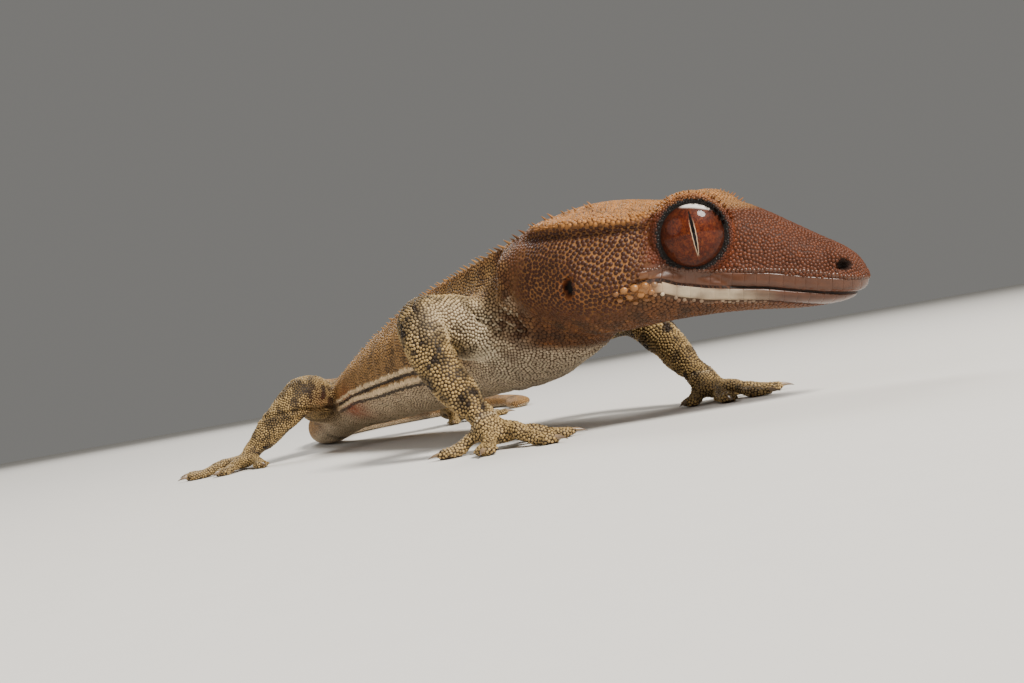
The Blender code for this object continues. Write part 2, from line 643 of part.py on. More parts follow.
def limb_cuts(limb):
    """Where a limb is cut from the trunk, at its elbow or knee, and at its wrist or ankle."""
    _, _, bend, shank, end = [Vector(row[:3]) for row in LIMBS[limb]]
    upper = (Vector(LIMBS[limb][1][:3]) - bend).normalized()
    lower = (shank - bend).normalized()
    outer = LIMBS[limb][2][3]
    inner = outer / math.sin(upper.angle(lower) / 2)
    middle = bend + (upper + lower).normalized() * (inner - outer) / 2
    wrist = end + (shank - end) * WRIST_CUT
    return (
        ROOT_CUTS[limb],
        (middle, lower - upper, (inner + outer) / 2 + 0.8),
        (wrist, end - shank, LIMBS[limb][WRIST][3] + 1.2),
    )


def part_nodes(flesh, cutters, collection):
    """Slices the flesh and names each loose body by the nearest named place."""
    for point, way, radius in BODY_CUTS.values():
        slab(point, way, radius, cutters)
    places = {name: Vector(point) for name, point in BODY_NAMES.items()}
    for limb, joints in LIMBS.items():
        for cut in limb_cuts(limb):
            slab(*cut, cutters)
        spots = [Vector(row[:3]) for row in joints]
        foot = limb.replace("leg", "foot")
        places[limb + "_upper"] = spots[1] * 0.4 + spots[2] * 0.6
        places[limb + "_lower"] = spots[2] * 0.35 + spots[4] * 0.65
        places[foot] = Vector(FEET[limb][0])
    boolean(flesh, cutters, "DIFFERENCE")
    bodies = loose_bodies(flesh)
    made = []
    for name, place in places.items():
        vertices, faces = next(body for body in bodies if holds(body, place * MM))
        mesh = bpy.data.meshes.new(name)
        mesh.from_pydata(vertices, [], faces)
        obj = bpy.data.objects.new(name, mesh)
        collection.objects.link(obj)
        mesh.shade_smooth()
        mesh.set_sharp_from_angle(angle=math.radians(40))
        made.append(obj)
    bpy.data.objects.remove(flesh, do_unlink=True)
    return made


def holds(body, place):
    """Whether the place is inside the body: a line drawn up from it crosses the surface an odd number of times."""
    tree = BVHTree.FromPolygons(*body)
    way = Vector((0.11, 0.07, 1.0)).normalized()
    crossings = 0
    spot = tree.ray_cast(place, way)[0]
    while spot:
        crossings += 1
        spot = tree.ray_cast(spot + way * 1e-3 * MM, way)[0]
    return crossings % 2 == 1


def loose_bodies(obj):
    """The vertices and faces of each connected piece of the mesh."""
    work = bmesh.new()
    work.from_mesh(obj.data)
    seen, bodies = set(), []
    for start in work.verts:
        if start in seen:
            continue
        seen.add(start)
        index, todo = {}, [start]
        while todo:
            vert = todo.pop()
            index[vert] = len(index)
            for edge in vert.link_edges:
                other = edge.other_vert(vert)
                if other not in seen:
                    seen.add(other)
                    todo.append(other)
        faces = {face for vert in index for face in vert.link_faces}
        ordered = sorted(faces, key=lambda face: face.index)
        corners = [[index[vert] for vert in face.verts] for face in ordered]
        bodies.append(([vert.co.copy() for vert in index], corners))
    work.free()
    return bodies


def centre_on_floor(nodes):
    """Moves every node so that the origin is on the floor under the middle of the whole."""
    corners = np.array([vert.co for node in nodes for vert in node.data.vertices])
    low, high = corners.min(axis=0), corners.max(axis=0)
    shift = Matrix.Translation((-(low[0] + high[0]) / 2, -(low[1] + high[1]) / 2, -low[2]))
    for node in nodes:
        node.data.transform(shift)


def new_collection(name, parent):
    made = bpy.data.collections.new(name)
    parent.children.link(made)
    return made


def main():
    clear_scene()
    scene = bpy.context.scene.collection
    gecko = new_collection("crested_gecko", scene)
    forms = new_collection("forms", scene)
    added = new_collection("added", scene)
    cutters = new_collection("cutters", scene)
    flesh = fused_flesh(forms)
    skin_surface = surface_of(flesh)
    add_spines(skin_surface, added)
    add_claws(added)
    boolean(flesh, added, "UNION")
    add_face_cutters(skin_surface, cutters)
    boolean(flesh, cutters, "DIFFERENCE")
    skin = material("skin")
    for node in part_nodes(flesh, cutters, gecko):
        node.data.materials.append(skin)
    iris = material("eye")
    for name, side in (("eye_right", -1), ("eye_left", 1)):
        eye = ball(name, eye_centre(side), EYE_RADIUS, gecko, way=eye_way(side), segments=20)
        eye.data.materials.append(iris)
        eye.data.shade_smooth()
    centre_on_floor(gecko.objects)


if __name__ == "__main__":
    main()
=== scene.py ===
"""Crested gecko, dressed: the looks of a life-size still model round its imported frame.

The hide is one fused skin over the same lofted forms as the solids. Over it lie granular scales, crest
spines, lip scales and claws, each a small closed mesh. Lengths in the shape tables are millimetres.
"""

import itertools
import math

import bmesh
import bpy
import numpy as np
from bpy.props import FloatProperty, FloatVectorProperty, IntProperty, PointerProperty
from mathutils import Euler, Matrix, Vector
from mathutils.bvhtree import BVHTree
from mathutils.kdtree import KDTree


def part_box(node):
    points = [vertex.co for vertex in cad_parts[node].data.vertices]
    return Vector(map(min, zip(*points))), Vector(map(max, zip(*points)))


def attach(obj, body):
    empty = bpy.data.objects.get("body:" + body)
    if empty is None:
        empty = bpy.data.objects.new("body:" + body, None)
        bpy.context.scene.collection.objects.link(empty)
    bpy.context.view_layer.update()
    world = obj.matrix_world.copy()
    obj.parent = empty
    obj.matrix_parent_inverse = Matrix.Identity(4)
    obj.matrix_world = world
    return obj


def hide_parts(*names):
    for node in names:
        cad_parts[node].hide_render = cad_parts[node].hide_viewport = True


bl_info = {
    "name": "Crested gecko still model",
    "version": (1, 0, 0),
    "blender": (4, 5, 0),
    "location": "3D View > Sidebar > Gecko",
    "description": "Builds the hide, scales, crests, eyes and claws of a life-size crested gecko",
    "category": "Object",
}

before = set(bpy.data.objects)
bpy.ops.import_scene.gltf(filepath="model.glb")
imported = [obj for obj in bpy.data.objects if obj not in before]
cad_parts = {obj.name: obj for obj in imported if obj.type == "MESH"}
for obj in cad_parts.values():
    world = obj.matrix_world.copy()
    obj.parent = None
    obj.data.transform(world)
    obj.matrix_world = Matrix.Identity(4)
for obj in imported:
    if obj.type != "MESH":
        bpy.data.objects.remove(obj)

MM = 0.001
FLESH_NODES = sorted(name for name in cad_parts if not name.startswith("eye_"))

# The head stands at the eyes' midpoint, turned left, nose down and leaning to its right
HEAD_AT = (49.8, 10.1, 18.85)
HEAD_TURN = 39.0
HEAD_DROOP = 13.2
HEAD_LEAN = 7.0
EYE_OUT = 5.4
EYE_FORWARD_TILT = 14.0
EYE_UP_TILT = 2.0
LID_OUTER = 4.55
# The skin's distance from the eye's centre by the angle off its axis, and how far from it a lid reaches
LID_ANGLES = (0, 46, 51, 53, 55, 59, 76)
LID_DISTANCES = (3.4, 3.4, 3.9, 4.2, 4.42, 4.62, 4.55)
LID_REACH = 5.6

# Head sections: distance ahead of the eyes, half width, height of the widest line, crown, chin, boxiness
HEAD_SECTIONS = (
    (-21.0, 6.6, -4.6, -1.4, -10.6, 2.1),
    (-17.7, 8.2, -4.6, 0.5, -11.3, 2.2),
    (-14.5, 9.7, -4.6, 2.0, -11.5, 2.4),
    (-11.0, 10.8, -4.7, 3.0, -11.4, 2.6),
    (-8.0, 11.0, -4.8, 3.3, -10.9, 2.7),
    (-5.0, 10.4, -4.8, 3.3, -10.1, 2.7),
    (-2.0, 9.4, -4.9, 3.4, -9.3, 2.7),
    (1.0, 8.4, -4.9, 3.4, -8.7, 2.6),
    (4.0, 7.3, -4.9, 3.3, -8.2, 2.5),
    (7.0, 6.2, -4.9, 2.3, -7.85, 2.4),
    (10.0, 5.2, -5.0, 1.0, -7.65, 2.3),
    (12.5, 4.4, -5.0, -0.1, -7.3, 2.25),
    (15.0, 3.4, -5.0, -1.2, -6.6, 2.2),
    (16.5, 2.2, -4.8, -2.3, -5.9, 2.1),
    (17.3, 0.9, -4.5, -3.4, -5.2, 2.0),
)
CREST_AHEAD = (-18.0, -14.0, -11.0, -8.5, -5.0, -3.0)
CREST_HEIGHTS = (0.1, 0.7, 1.0, 1.2, 1.5, 2.3)
MOUTH_AHEAD = (-5.2, -3.9, -2.2, -0.5, 2.0, 7.5, 10.4, 13.3, 16.5)
MOUTH_HEIGHTS = (-5.1, -4.45, -4.25, -4.75, -5.0, -5.05, -5.35, -5.6, -5.7)

# Swellings and hollows of the plain head's left side: middle, spread, and push outwards and upwards
HEAD_BUMPS = (
    ((2.6, 6.0, 3.8), (3.4, 2.0, 1.8), 0.3, 0.15),  # brow
    ((-7.5, 9.8, -1.4), (3.4, 3.0, 1.6), -0.55, 0.0),  # hollow under the crest
    ((-9.5, 9.5, -5.4), (3.4, 3.0, 2.8), 0.5, 0.0),  # cheek
    ((6.8, 5.8, -0.6), (2.6, 2.0, 1.7), -0.4, 0.0),  # hollow ahead of the eye
    ((15.0, 2.8, -2.4), (1.3, 1.4, 1.2), 0.4, 0.3),  # snout pad
)

# Neck, trunk and tail: centre line, half width, rise to the back, drop to the belly, crest height
TRUNK_SECTIONS = (
    (45.5, 6.6, 18.6, 6.2, 4.4, 5.4, 0.3),
    (41.0, 3.4, 17.6, 7.2, 5.6, 6.4, 1.0),
    (36.0, 1.0, 15.6, 7.7, 6.6, 7.5, 1.3),
    (29.5, 0.0, 13.7, 8.3, 7.4, 8.0, 1.3),
    (20.0, 0.0, 12.8, 8.9, 7.6, 7.7, 0.9),
    (10.0, 0.0, 11.8, 9.3, 7.6, 7.3, 0.5),
    (0.0, 0.0, 10.6, 9.3, 7.0, 6.7, 0.3),
    (-10.0, 0.0, 9.3, 8.7, 6.1, 5.9, 0.15),
    (-20.0, 0.0, 8.0, 7.3, 5.1, 5.1, 0.1),
    (-29.0, 0.0, 6.9, 6.0, 4.5, 4.4, 0.05),
    (-37.0, 0.3, 5.4, 4.9, 3.8, 3.9, 0.0),
    (-45.0, 1.0, 3.9, 4.2, 3.3, 3.6, 0.0),
    (-54.0, 3.0, 3.0, 3.5, 2.8, 3.1, 0.0),
    (-64.0, 7.5, 2.7, 3.1, 2.4, 2.8, 0.0),
    (-73.0, 15.0, 2.4, 2.8, 2.1, 2.5, 0.0),
    (-78.0, 25.5, 2.1, 2.5, 1.9, 2.2, 0.0),
    (-76.0, 37.0, 1.9, 2.2, 1.7, 2.0, 0.0),
    (-67.5, 44.5, 1.6, 1.9, 1.5, 1.7, 0.0),
    (-57.5, 46.0, 1.3, 1.9, 1.2, 1.4, 0.0),
    (-49.5, 43.2, 1.1, 2.5, 0.95, 1.2, 0.0),
    (-44.5, 40.0, 1.0, 2.3, 0.8, 1.1, 0.0),
    (-42.2, 38.2, 0.9, 1.0, 0.6, 0.9, 0.0),
)

# Limbs: joints from the root inside the trunk to the wrist or ankle, each with its flesh radius
LIMBS = {
    "foreleg_right": ((29.5, -3.5, 12.8, 4.0), (31.0, -9.6, 13.4, 3.6), (33.0, -16.0, 14.2, 2.75),
                      (35.4, -16.4, 10.2, 2.35), (37.6, -14.6, 5.0, 1.8)),
    "foreleg_left": ((28.2, 3.5, 12.4, 4.0), (27.2, 9.8, 12.4, 3.4), (27.0, 16.4, 12.2, 2.7),
                     (31.4, 17.4, 8.7, 2.3), (36.2, 17.0, 4.4, 1.75)),
    "hind_leg_right": ((-30.5, -2.0, 7.0, 4.0), (-25.2, -7.6, 8.1, 3.6), (-18.8, -13.4, 9.1, 2.8),
                       (-19.2, -16.9, 6.3, 2.3), (-19.8, -20.2, 3.5, 1.75)),
    "hind_leg_left": ((-30.5, 2.0, 7.0, 4.0), (-26.2, 7.6, 7.9, 3.6), (-20.4, 13.8, 8.9, 2.8),
                      (-24.8, 15.6, 6.1, 2.3), (-29.4, 16.8, 3.5, 1.75)),
}

# Feet: palm centre, facing in degrees from +X, each digit's fan angle and length, palm height
FEET = {
    "foreleg_right": ((39.3, -12.9, 2.4), 0, ((104, 5.2), (58, 7.4), (16, 7.6), (-42, 6.2), (-106, 5.6)), 3.2),
    "foreleg_left": ((39.0, 17.2, 2.2), 14, ((-88, 5.2), (-42, 7.2), (-6, 7.8), (36, 7.6), (88, 6)), 2.8),
    "hind_leg_right": ((-20.6, -21.8, 2), -92, ((92, 5.6), (44, 7.8), (6, 8.8), (-34, 9), (-84, 7)), 2.6),
    "hind_leg_left": ((-31.4, 18.8, 2), 62, ((-92, 5.6), (-44, 7.8), (-6, 8.8), (34, 9), (84, 7)), 2.6),
}
PALM_HALF = 2.7
DIGIT_NARROW = 0.85
PAD_HALF = 1.35
PAD_THICK = 0.62
SOLE_SINK = 0.12

# Height round the trunk, in degrees above its side, of the crest along each side of the back
CREST_ANGLE = 52.0

# The flank's two pale lines, by distance along the body: the upper tan one and the lower whitish one
FLANK_AHEAD = (-30.0, -9.0, 0.0, 7.0, 14.0, 24.0)
UPPER_LINE = (6.4, 8.6, 9.3, 9.8, 10.2, 10.6)
LOWER_LINE = (5.6, 7.6, 7.9, 8.4, 8.7, 8.9)

# Creases of loose skin where the right foreleg meets the chest; the left side mirrors them
ARM_CREASES = (
    ((34.1, -10.3, 15.6), (34.5, -10.1, 14.8), (34.3, -8.3, 13.9), (35.3, -7.1, 12.8), (36.5, -6.2, 11.4)),
    ((34.6, -9.9, 14.0), (34.3, -8.2, 13.0), (34.3, -7.4, 12.1)),
    ((35.1, -7.3, 14.5), (36.8, -6.7, 13.1), (37.3, -6.0, 11.6)),
)

CREASE_WIDTH = 0.3

# Middle and half sizes of the left nostril and the left ear in the head's frame
NOSTRIL = ((14.9, 3.1, -2.8), (0.66, 1.3, 0.52))
EAR = ((-11.4, 10.3, -5.4), (0.6, 2.0, 1.0))

# Millimetres from one granule to the next on the head, by the distance ahead of the eyes
HEAD_SPACING = ((-16.0, -8.0, -4.0, 3.0, 10.0, 17.0), (0.48, 0.53, 0.5, 0.44, 0.4, 0.36))
BODY_SPACING = 0.42
NARROWEST_SPACING = 0.26
WIDEST_SPACING = 0.8
# A granule's share of the square of its spacing in an even coat, the gap at which two near granules stop
# pushing as a share of both spacings, how hard they push, and how far one may move in a round
HEXAGON_AREA = 0.87
REST_SHARE = 0.5832
STIFFNESS = 0.42
FARTHEST_STEP = 0.25
RELAX_ROUNDS = 12
# Half the side of a scale's patch on the baked square
PATCH_HALF = 0.0014

GRANULE_FINISH = "granular_scale_keratin"

# Coat pieces, each with the regions of flesh that its patches are laid out on
COAT = (
    ("head", ("head",)), ("shoulder", ("trunk", "head")), ("trunk", ("trunk",)), ("hip", ("trunk",)),
    ("tail", ("trunk",)), ("foreleg", ("foreleg",)), ("hind_leg", ("hind_leg",)),
)

# Rows of lip plates: name, lower and upper edge from the mouth line, width and thickness of a plate, seed
LIP_ROWS = (
    ("upper_lip_scales", 0.12, 1.45, 1.2, 0.05, 41),
    ("lower_lip_scales", -1.3, -0.14, 1.35, 0.05, 42),
)

# The slit pupil: degrees that it leans, millimetres above the eye's middle, and half its length
PUPIL_LEAN = 13.8
PUPIL_RISE = 0.38
PUPIL_HALF = 2.2

# Knobs at the mouth's left corner: distance ahead, height and radius
KNOBS = (
    (-2.2, -4.75, 0.34), (-3.1, -4.85, 0.44), (-4.1, -5.1, 0.46), (-5.1, -5.35, 0.42), (-5.9, -5.75, 0.36),
    (-2.5, -5.5, 0.36), (-3.5, -5.75, 0.42), (-4.6, -6.0, 0.44), (-5.6, -6.4, 0.36), (-4.1, -6.65, 0.3),
    (-3.0, -6.3, 0.28), (-6.6, -6.2, 0.28),
)


def to_linear(code):
    """sRGB hex to linear colour with full alpha."""
    parts = np.array([int(code[i : i + 2], 16) for i in (1, 3, 5)]) / 255.0
    linear = np.where(parts <= 0.04045, parts / 12.92, ((parts + 0.055) / 1.055) ** 2.4)
    return (*linear.tolist(), 1.0)


def colour(name, code, about):
    """A colour of the panel."""
    settings = {"subtype": "COLOR", "size": 4, "min": 0, "max": 1}
    return FloatVectorProperty(name=name, description=about, default=to_linear(code), **settings)


def length(name, about, default):
    """A length of the panel, in metres."""
    return FloatProperty(name=name, description=about, default=default, min=0.0, precision=5, unit="LENGTH")


class GeckoSizes(bpy.types.PropertyGroup):
    hide_grain: length("Hide mesh grain", "Edge length of the fused skin's mesh", 0.0005)
    eye_radius: length("Eye radius", "Radius of each eyeball", 0.004)
    iris_radius: length("Iris radius", "Radius of the coloured iris seen from the front", 0.00318)
    scale_spacing: FloatProperty(
        name="Scale spacing", description="Share of the granules' real spacing", default=1.0, min=0.5, max=2.0
    )
    crest_spine: length("Crest spine", "Length of the longest crest spine above the skin", 0.00085)
    claw: length("Claw", "Length of each claw ahead of its pad", 0.0011)
    floor: length("Floor", "Radius of the studio floor", 1.5)
    seed: IntProperty(name="Seed", description="Seed of every random choice", default=11)


class GeckoColours(bpy.types.PropertyGroup):
    scale_brown: colour("Scale brown", "#9A7444", "Granules of the back and flanks")
    scale_red: colour("Scale red", "#552A11", "Granules of the snout and cheeks")
    scale_tan: colour("Scale tan", "#A06C38", "Granules of the crown and crest edges")
    scale_cheek: colour("Scale cheek", "#3A1C0D", "Dark tops of the cheek granules")
    scale_limb: colour("Scale limb", "#A08556", "Granules of the limbs and feet")
    scale_pale: colour("Scale pale", "#D6C8AC", "Granules of the chest, shoulders and belly")
    # Also paints the shadow on the right thigh and the shade under the jaw
    scale_dark: colour("Scale dark", "#2C2014", "Dark mottling of the limbs and tail")
    gap_brown: colour("Gap brown", "#4A3420", "Skin between the granules of the back")
    gap_net: colour("Gap net", "#8E6239", "Light net between the dark cheek granules")
    gap_limb: colour("Gap limb", "#3A2C1C", "Skin between the granules of the limbs")
    gap_pale: colour("Gap pale", "#5E4C3A", "Skin between pale granules")
    rust: colour("Rust", "#8C3A10", "Rusty skin of the groin, the ear and round the eye")
    cream: colour("Cream", "#DCC097", "Cream lines of the flank")
    # Painted shade for the mouth line, the lid rims, the nostrils, the ears, the arm creases and under the
    # head crest, and also the dark lines beside the flank lines
    shade_and_line_black: colour("Black", "#120B08", "Mouth line, lid rim, nostril and deep folds")
    lip: colour("Lip", "#4E2A13", "Upper lip scales")
    iris: colour("Iris", "#4A1808", "Copper iris")
    iris_light: colour("Iris light", "#703414", "Light flecks of the iris")
    # Partly the iris's own pale patch, partly a painted highlight
    silver: colour("Silver", "#E2D9D0", "Silvery arc at the top of the iris")
    claw: colour("Claw", "#4A3A2E", "Claw horn")
    floor: colour("Floor", "#E2DFD9", "Studio floor")


# Plain maths


def smooth_step(value, low, high):
    """0 below low, 1 above high, and a smooth cubic between; low may be above high to turn it round."""
    t = np.clip((value - low) / (high - low), 0.0, 1.0)
    return t * t * (3 - 2 * t)


def unit(vectors):
    """The vectors at a length of one."""
    return vectors / np.maximum(np.linalg.norm(vectors, axis=-1, keepdims=True), 1e-12)


def around(sides):
    """Angles once round a ring."""
    return np.linspace(0.0, 2 * math.pi, sides, endpoint=False)


def near(points, centre, spread):
    """1 at the centre, falling off as a Gaussian over the spread in each direction."""
    return np.exp(-(((points - np.array(centre)) / np.array(spread)) ** 2).sum(axis=-1))


def band(gap, width):
    """1 where the gap is nothing, falling off as a Gaussian over the width."""
    return np.exp(-((gap / width) ** 2))


def ripple(points, wavelength, seed, waves=14):
    """Smooth noise from about -1 to 1: the sum of sine waves of about this length in random directions."""
    draw = np.random.default_rng(seed)
    ways = unit(draw.normal(size=(waves, 3)))
    ways = ways * (2 * math.pi / (wavelength * draw.uniform(0.7, 1.5, (waves, 1))))
    phases = draw.uniform(0, 2 * math.pi, waves)
    return np.sin(points @ ways.T + phases).sum(axis=-1) / math.sqrt(waves / 2) * 0.8


def distance_to_path(points, path):
    """Distance to a path of straight lengths, and how far along it the nearest place is, from 0 to 1."""
    path = np.array(path, float)
    best = np.full(len(points), 1e9)
    along = np.zeros(len(points))
    for index, (start, end) in enumerate(zip(path[:-1], path[1:])):
        run = end - start
        t = np.clip((points - start) @ run / (run @ run), 0, 1)
        gap = np.linalg.norm(points - start - t[:, None] * run, axis=1)
        closer = gap < best
        best = np.where(closer, gap, best)
        along = np.where(closer, (index + t) / (len(path) - 1), along)
    return best, along


def run_along(path):
    """Distance from the path's start to each of its points."""
    return np.concatenate([[0.0], np.cumsum(np.linalg.norm(np.diff(path, axis=0), axis=1))])


def smooth_rows(rows, count):
    """The rows of a table read along a smooth curve through them, spaced by the distance between centres."""
    table = np.array(rows, float)
    along = run_along(table[:, :3])
    slopes = np.gradient(table, along, axis=0)
    read = np.linspace(0.0, along[-1], count)
    at = np.clip(np.searchsorted(along, read, side="right") - 1, 0, len(table) - 2)
    span = (along[at + 1] - along[at])[:, None]
    t = ((read - along[at])[:, None]) / span
    start, end = table[at], table[at + 1]
    return (
        (2 * t**3 - 3 * t**2 + 1) * start
        + (t**3 - 2 * t**2 + t) * span * slopes[at]
        + (3 * t**2 - 2 * t**3) * end
        + (t**3 - t**2) * span * slopes[at + 1]
    )


def frames_along(centres, up_hint):
    """Side and up directions across a centre line, square to its run."""
    run = unit(np.gradient(centres, axis=0))
    side = unit(np.cross(np.broadcast_to(up_hint, run.shape), run))
    return side, np.cross(run, side)


def signed_power(value, power):
    """The size of the value to the power, with its sign kept."""
    return np.sign(value) * np.abs(value) ** power


def head_matrix():
    """From the head's own frame, in millimetres with +X to the snout and +Y to its left, to the model's."""
    turn = Euler((math.radians(HEAD_LEAN), math.radians(HEAD_DROOP), math.radians(HEAD_TURN)), "XYZ")
    return Matrix.Translation(Vector(HEAD_AT)) @ turn.to_matrix().to_4x4()


HEAD = np.array(head_matrix())


def from_head(points):
    """From the head's frame to the model's."""
    return np.asarray(points, float) @ HEAD[:3, :3].T + HEAD[:3, 3]


def to_head(points):
    """From the model's frame to the head's."""
    return (np.asarray(points, float) - HEAD[:3, 3]) @ HEAD[:3, :3]


def eye_centre(side):
    """The middle of the left eye for 1 and of the right eye for -1."""
    return from_head((0.0, side * EYE_OUT, 0.0))


def eye_axes(side):
    """The eye's forward, up and outward directions in the model's frame."""
    tilt, lift = math.radians(EYE_FORWARD_TILT), math.radians(EYE_UP_TILT)
    outward = np.array((math.sin(tilt), side * math.cos(tilt) * math.cos(lift), math.sin(lift)))
    outward = unit(HEAD[:3, :3] @ outward)
    upward = unit(HEAD[:3, 2] - outward * (HEAD[:3, 2] @ outward))
    return np.cross(upward, outward) * -side, upward, outward


def row_shift():
    """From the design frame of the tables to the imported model's frame, read off the right eye's box."""
    low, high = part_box("eye_right")
    return (np.array(low) + np.array(high)) / 2 / MM - eye_centre(-1)


SHIFT = row_shift()


def to_row(points):
    """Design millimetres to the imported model's metres."""
    return (np.asarray(points, float) + SHIFT) * MM


def to_design(points):
    """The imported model's metres to design millimetres."""
    return np.asarray(points, float) / MM - SHIFT


# Forms of the flesh


def lip_level(ahead):
    """Height of the mouth line in the head's frame."""
    return np.interp(ahead, MOUTH_AHEAD, MOUTH_HEIGHTS)


def head_rings(count=96, sides=108):
    """Head sections: a superellipse above the widest line, where crests corner the crown, a round below."""
    rows = smooth_rows([(ahead, 0.0, 0.0, *shape) for ahead, *shape in HEAD_SECTIONS], count)
    across, upward = np.cos(around(sides))[None], np.sin(around(sides))[None]
    half, mid, crown, chin, box = (rows[:, i : i + 1] for i in range(3, 8))
    y = half * signed_power(across, 2 / box)
    above = mid + (crown - mid) * np.abs(upward) ** (2 / box)
    below = mid + (chin - mid) * np.abs(upward)
    z = np.where(upward > 0, above, below)
    return head_forms(np.stack([np.broadcast_to(rows[:, :1], y.shape), y, z], axis=-1))


def head_forms(points):
    """Gaussian bumps raise the brows, crests, cheeks, snout pad and lips on the plain head."""
    side = np.where(points[..., 1] < 0, -1.0, 1.0)
    both = points * np.stack([np.ones_like(side), side, np.ones_like(side)], axis=-1)
    out = np.zeros_like(both)
    x, y, z = np.moveaxis(both, -1, 0)
    along_crest = np.clip((-1.5 - x) / 3.0, 0.0, 1.0) * np.clip((x + 21.0) / 4.0, 0.0, 1.0)
    on_crest = band(z - np.interp(x, CREST_AHEAD, CREST_HEIGHTS), 0.7) * (y > 3.5) * along_crest
    out[..., 1] += 0.75 * on_crest
    out[..., 2] += 0.35 * on_crest
    for centre, spread, outward, upward in HEAD_BUMPS:
        bump = near(both, centre, spread)
        out[..., 1] += outward * bump
        out[..., 2] += upward * bump
    lip = band(z - lip_level(x), 0.8) * np.clip((x + 6.0) / 3.0, 0.0, 1.0)
    out[..., 1] += 0.3 * lip * np.clip(y / 2.0, 0.0, 1.0)
    out[..., 1] *= side
    return points + out


def trunk_rings(count=240, sides=72):
    """Trunk sections, near ellipses with a Gaussian ridge for the crest on each side of the back."""
    rows = smooth_rows(TRUNK_SECTIONS, count)
    side_way, up_way = frames_along(rows[:, :3], (0.0, 0.0, 1.0))
    angle = around(sides)[None]
    half, rise, drop, crest = (rows[:, i : i + 1] for i in range(3, 7))
    across = signed_power(np.cos(angle), 0.92)
    upward = signed_power(np.sin(angle), 0.92)
    for centre in (math.radians(CREST_ANGLE), math.radians(180.0 - CREST_ANGLE)):
        ridge = crest * band(angle - centre, 0.16)
        across = across + ridge * np.cos(centre) / half
        upward = upward + ridge * np.sin(centre) / rise
    y = half * across
    z = np.where(upward > 0, rise, drop) * upward
    return rows[:, None, :3] + y[..., None] * side_way[:, None] + z[..., None] * up_way[:, None]


def tube_rings(rows, count, sides, up_hint=(0.0, 0.0, 1.0)):
    """An ellipse carried along a line: each row is a centre, half width and half thickness, or a radius."""
    rows = smooth_rows(rows, count)
    side_way, up_way = frames_along(rows[:, :3], up_hint)
    angle = around(sides)[None, :, None]
    wide = rows[:, None, 3:4] * np.cos(angle) * side_way[:, None]
    thick = rows[:, None, -1:] * np.sin(angle) * up_way[:, None]
    return rows[:, None, :3] + wide + thick


def palm_rows(limb):
    """From inside the wrist to the far edge of the palm."""
    palm, facing, _, height = FEET[limb]
    palm = np.array(palm)
    wrist = np.array(LIMBS[limb][-1][:3])
    way = np.array((math.cos(math.radians(facing)), math.sin(math.radians(facing)), 0.0))
    end = palm + way * PALM_HALF * 0.9
    return (
        (*wrist, 1.5, 1.4),
        (*(wrist * 0.45 + palm * 0.55 + np.array((0, 0, 0.1))), 2.1, 1.3),
        (*(palm * (1, 1, 0) + (0, 0, height * 0.62)), PALM_HALF, 1.15),
        (*(end * (1, 1, 0) + (0, 0, height * 0.38)), PALM_HALF * 0.75, 0.8),
    )


def digit_rows(limb, fan, reach):
    """A digit from inside the palm: a narrow arched shaft, then a broad flat pad, its sole on the floor."""
    palm, facing, _, height = FEET[limb]
    turn = math.radians(facing + fan)
    root, way = np.array((*palm[:2], 0.0)), np.array((math.cos(turn), math.sin(turn), 0.0))
    arch, sole = height * 0.52, PAD_THICK - SOLE_SINK
    rows = (
        (0.3, arch, 1.05, 0.95), (reach * 0.42, arch, DIGIT_NARROW, DIGIT_NARROW),
        (reach * 0.66, sole + 0.35, 1.0, 0.72), (reach * 0.86, sole, PAD_HALF, PAD_THICK),
        (reach * 1.02, sole, PAD_HALF * 0.92, PAD_THICK), (reach * 1.14, sole, 0.5, 0.45),
    )
    return [(*(root + way * along + (0.0, 0.0, up)), half, thick) for along, up, half, thick in rows]


def lid_rings(side, count=40, sides=56):
    """A sphere's rings, from pole to pole along the eye's outward direction."""
    forward, upward, outward = eye_axes(side)
    polar = np.linspace(0.06, math.pi - 0.06, count)[:, None, None]
    angle = around(sides)[None, :, None]
    ring = np.sin(polar) * (np.cos(angle) * forward + np.sin(angle) * upward)
    return eye_centre(side) + LID_OUTER * (ring + np.cos(polar) * outward)


def flesh_lofts():
    """Every lofted form by the region it belongs to."""
    lofts = [("head", from_head(head_rings())), ("trunk", trunk_rings())]
    for limb, joints in LIMBS.items():
        region = "foreleg" if limb.startswith("fore") else "hind_leg"
        lofts.append((region, tube_rings(joints, 48, 32, (0.35, math.copysign(0.25, joints[1][1]), 0.9))))
        flat = [palm_rows(limb), *(digit_rows(limb, fan, reach) for fan, reach in FEET[limb][2])]
        lofts += [(region, tube_rings(rows, 30, 28)) for rows in flat]
    lofts += [("head", lid_rings(side)) for side in (-1, 1)]
    return lofts


def loft_faces(count, sides):
    """Quads between the rings, and a fan to a middle point at each end."""
    here = np.arange(count * sides).reshape(count, sides)
    after = np.roll(here, -1, axis=1)
    quads = np.stack([here[:-1], after[:-1], after[1:], here[1:]], axis=-1).reshape(-1, 4)
    first, last = count * sides, count * sides + 1
    start = np.stack([np.full(sides, first), after[0], here[0]], axis=-1)
    end = np.stack([np.full(sides, last), here[-1], after[-1]], axis=-1)
    return quads, np.concatenate([start, end])


def closed_loft(rings):
    """Points, quads and triangles of a loft, turned so that its faces point outwards."""
    count, sides = rings.shape[:2]
    points = np.concatenate([rings.reshape(-1, 3), rings[:1].mean(axis=1), rings[-1:].mean(axis=1)])
    quads, triangles = loft_faces(count, sides)
    middle = points.mean(axis=0)
    a, b, c = (points[quads[:, i]] - middle for i in range(3))
    if np.einsum("ij,ij->i", a, np.cross(b, c)).sum() < 0:
        quads, triangles = quads[:, ::-1], triangles[:, ::-1]
    return points, quads, triangles


# Meshes from arrays


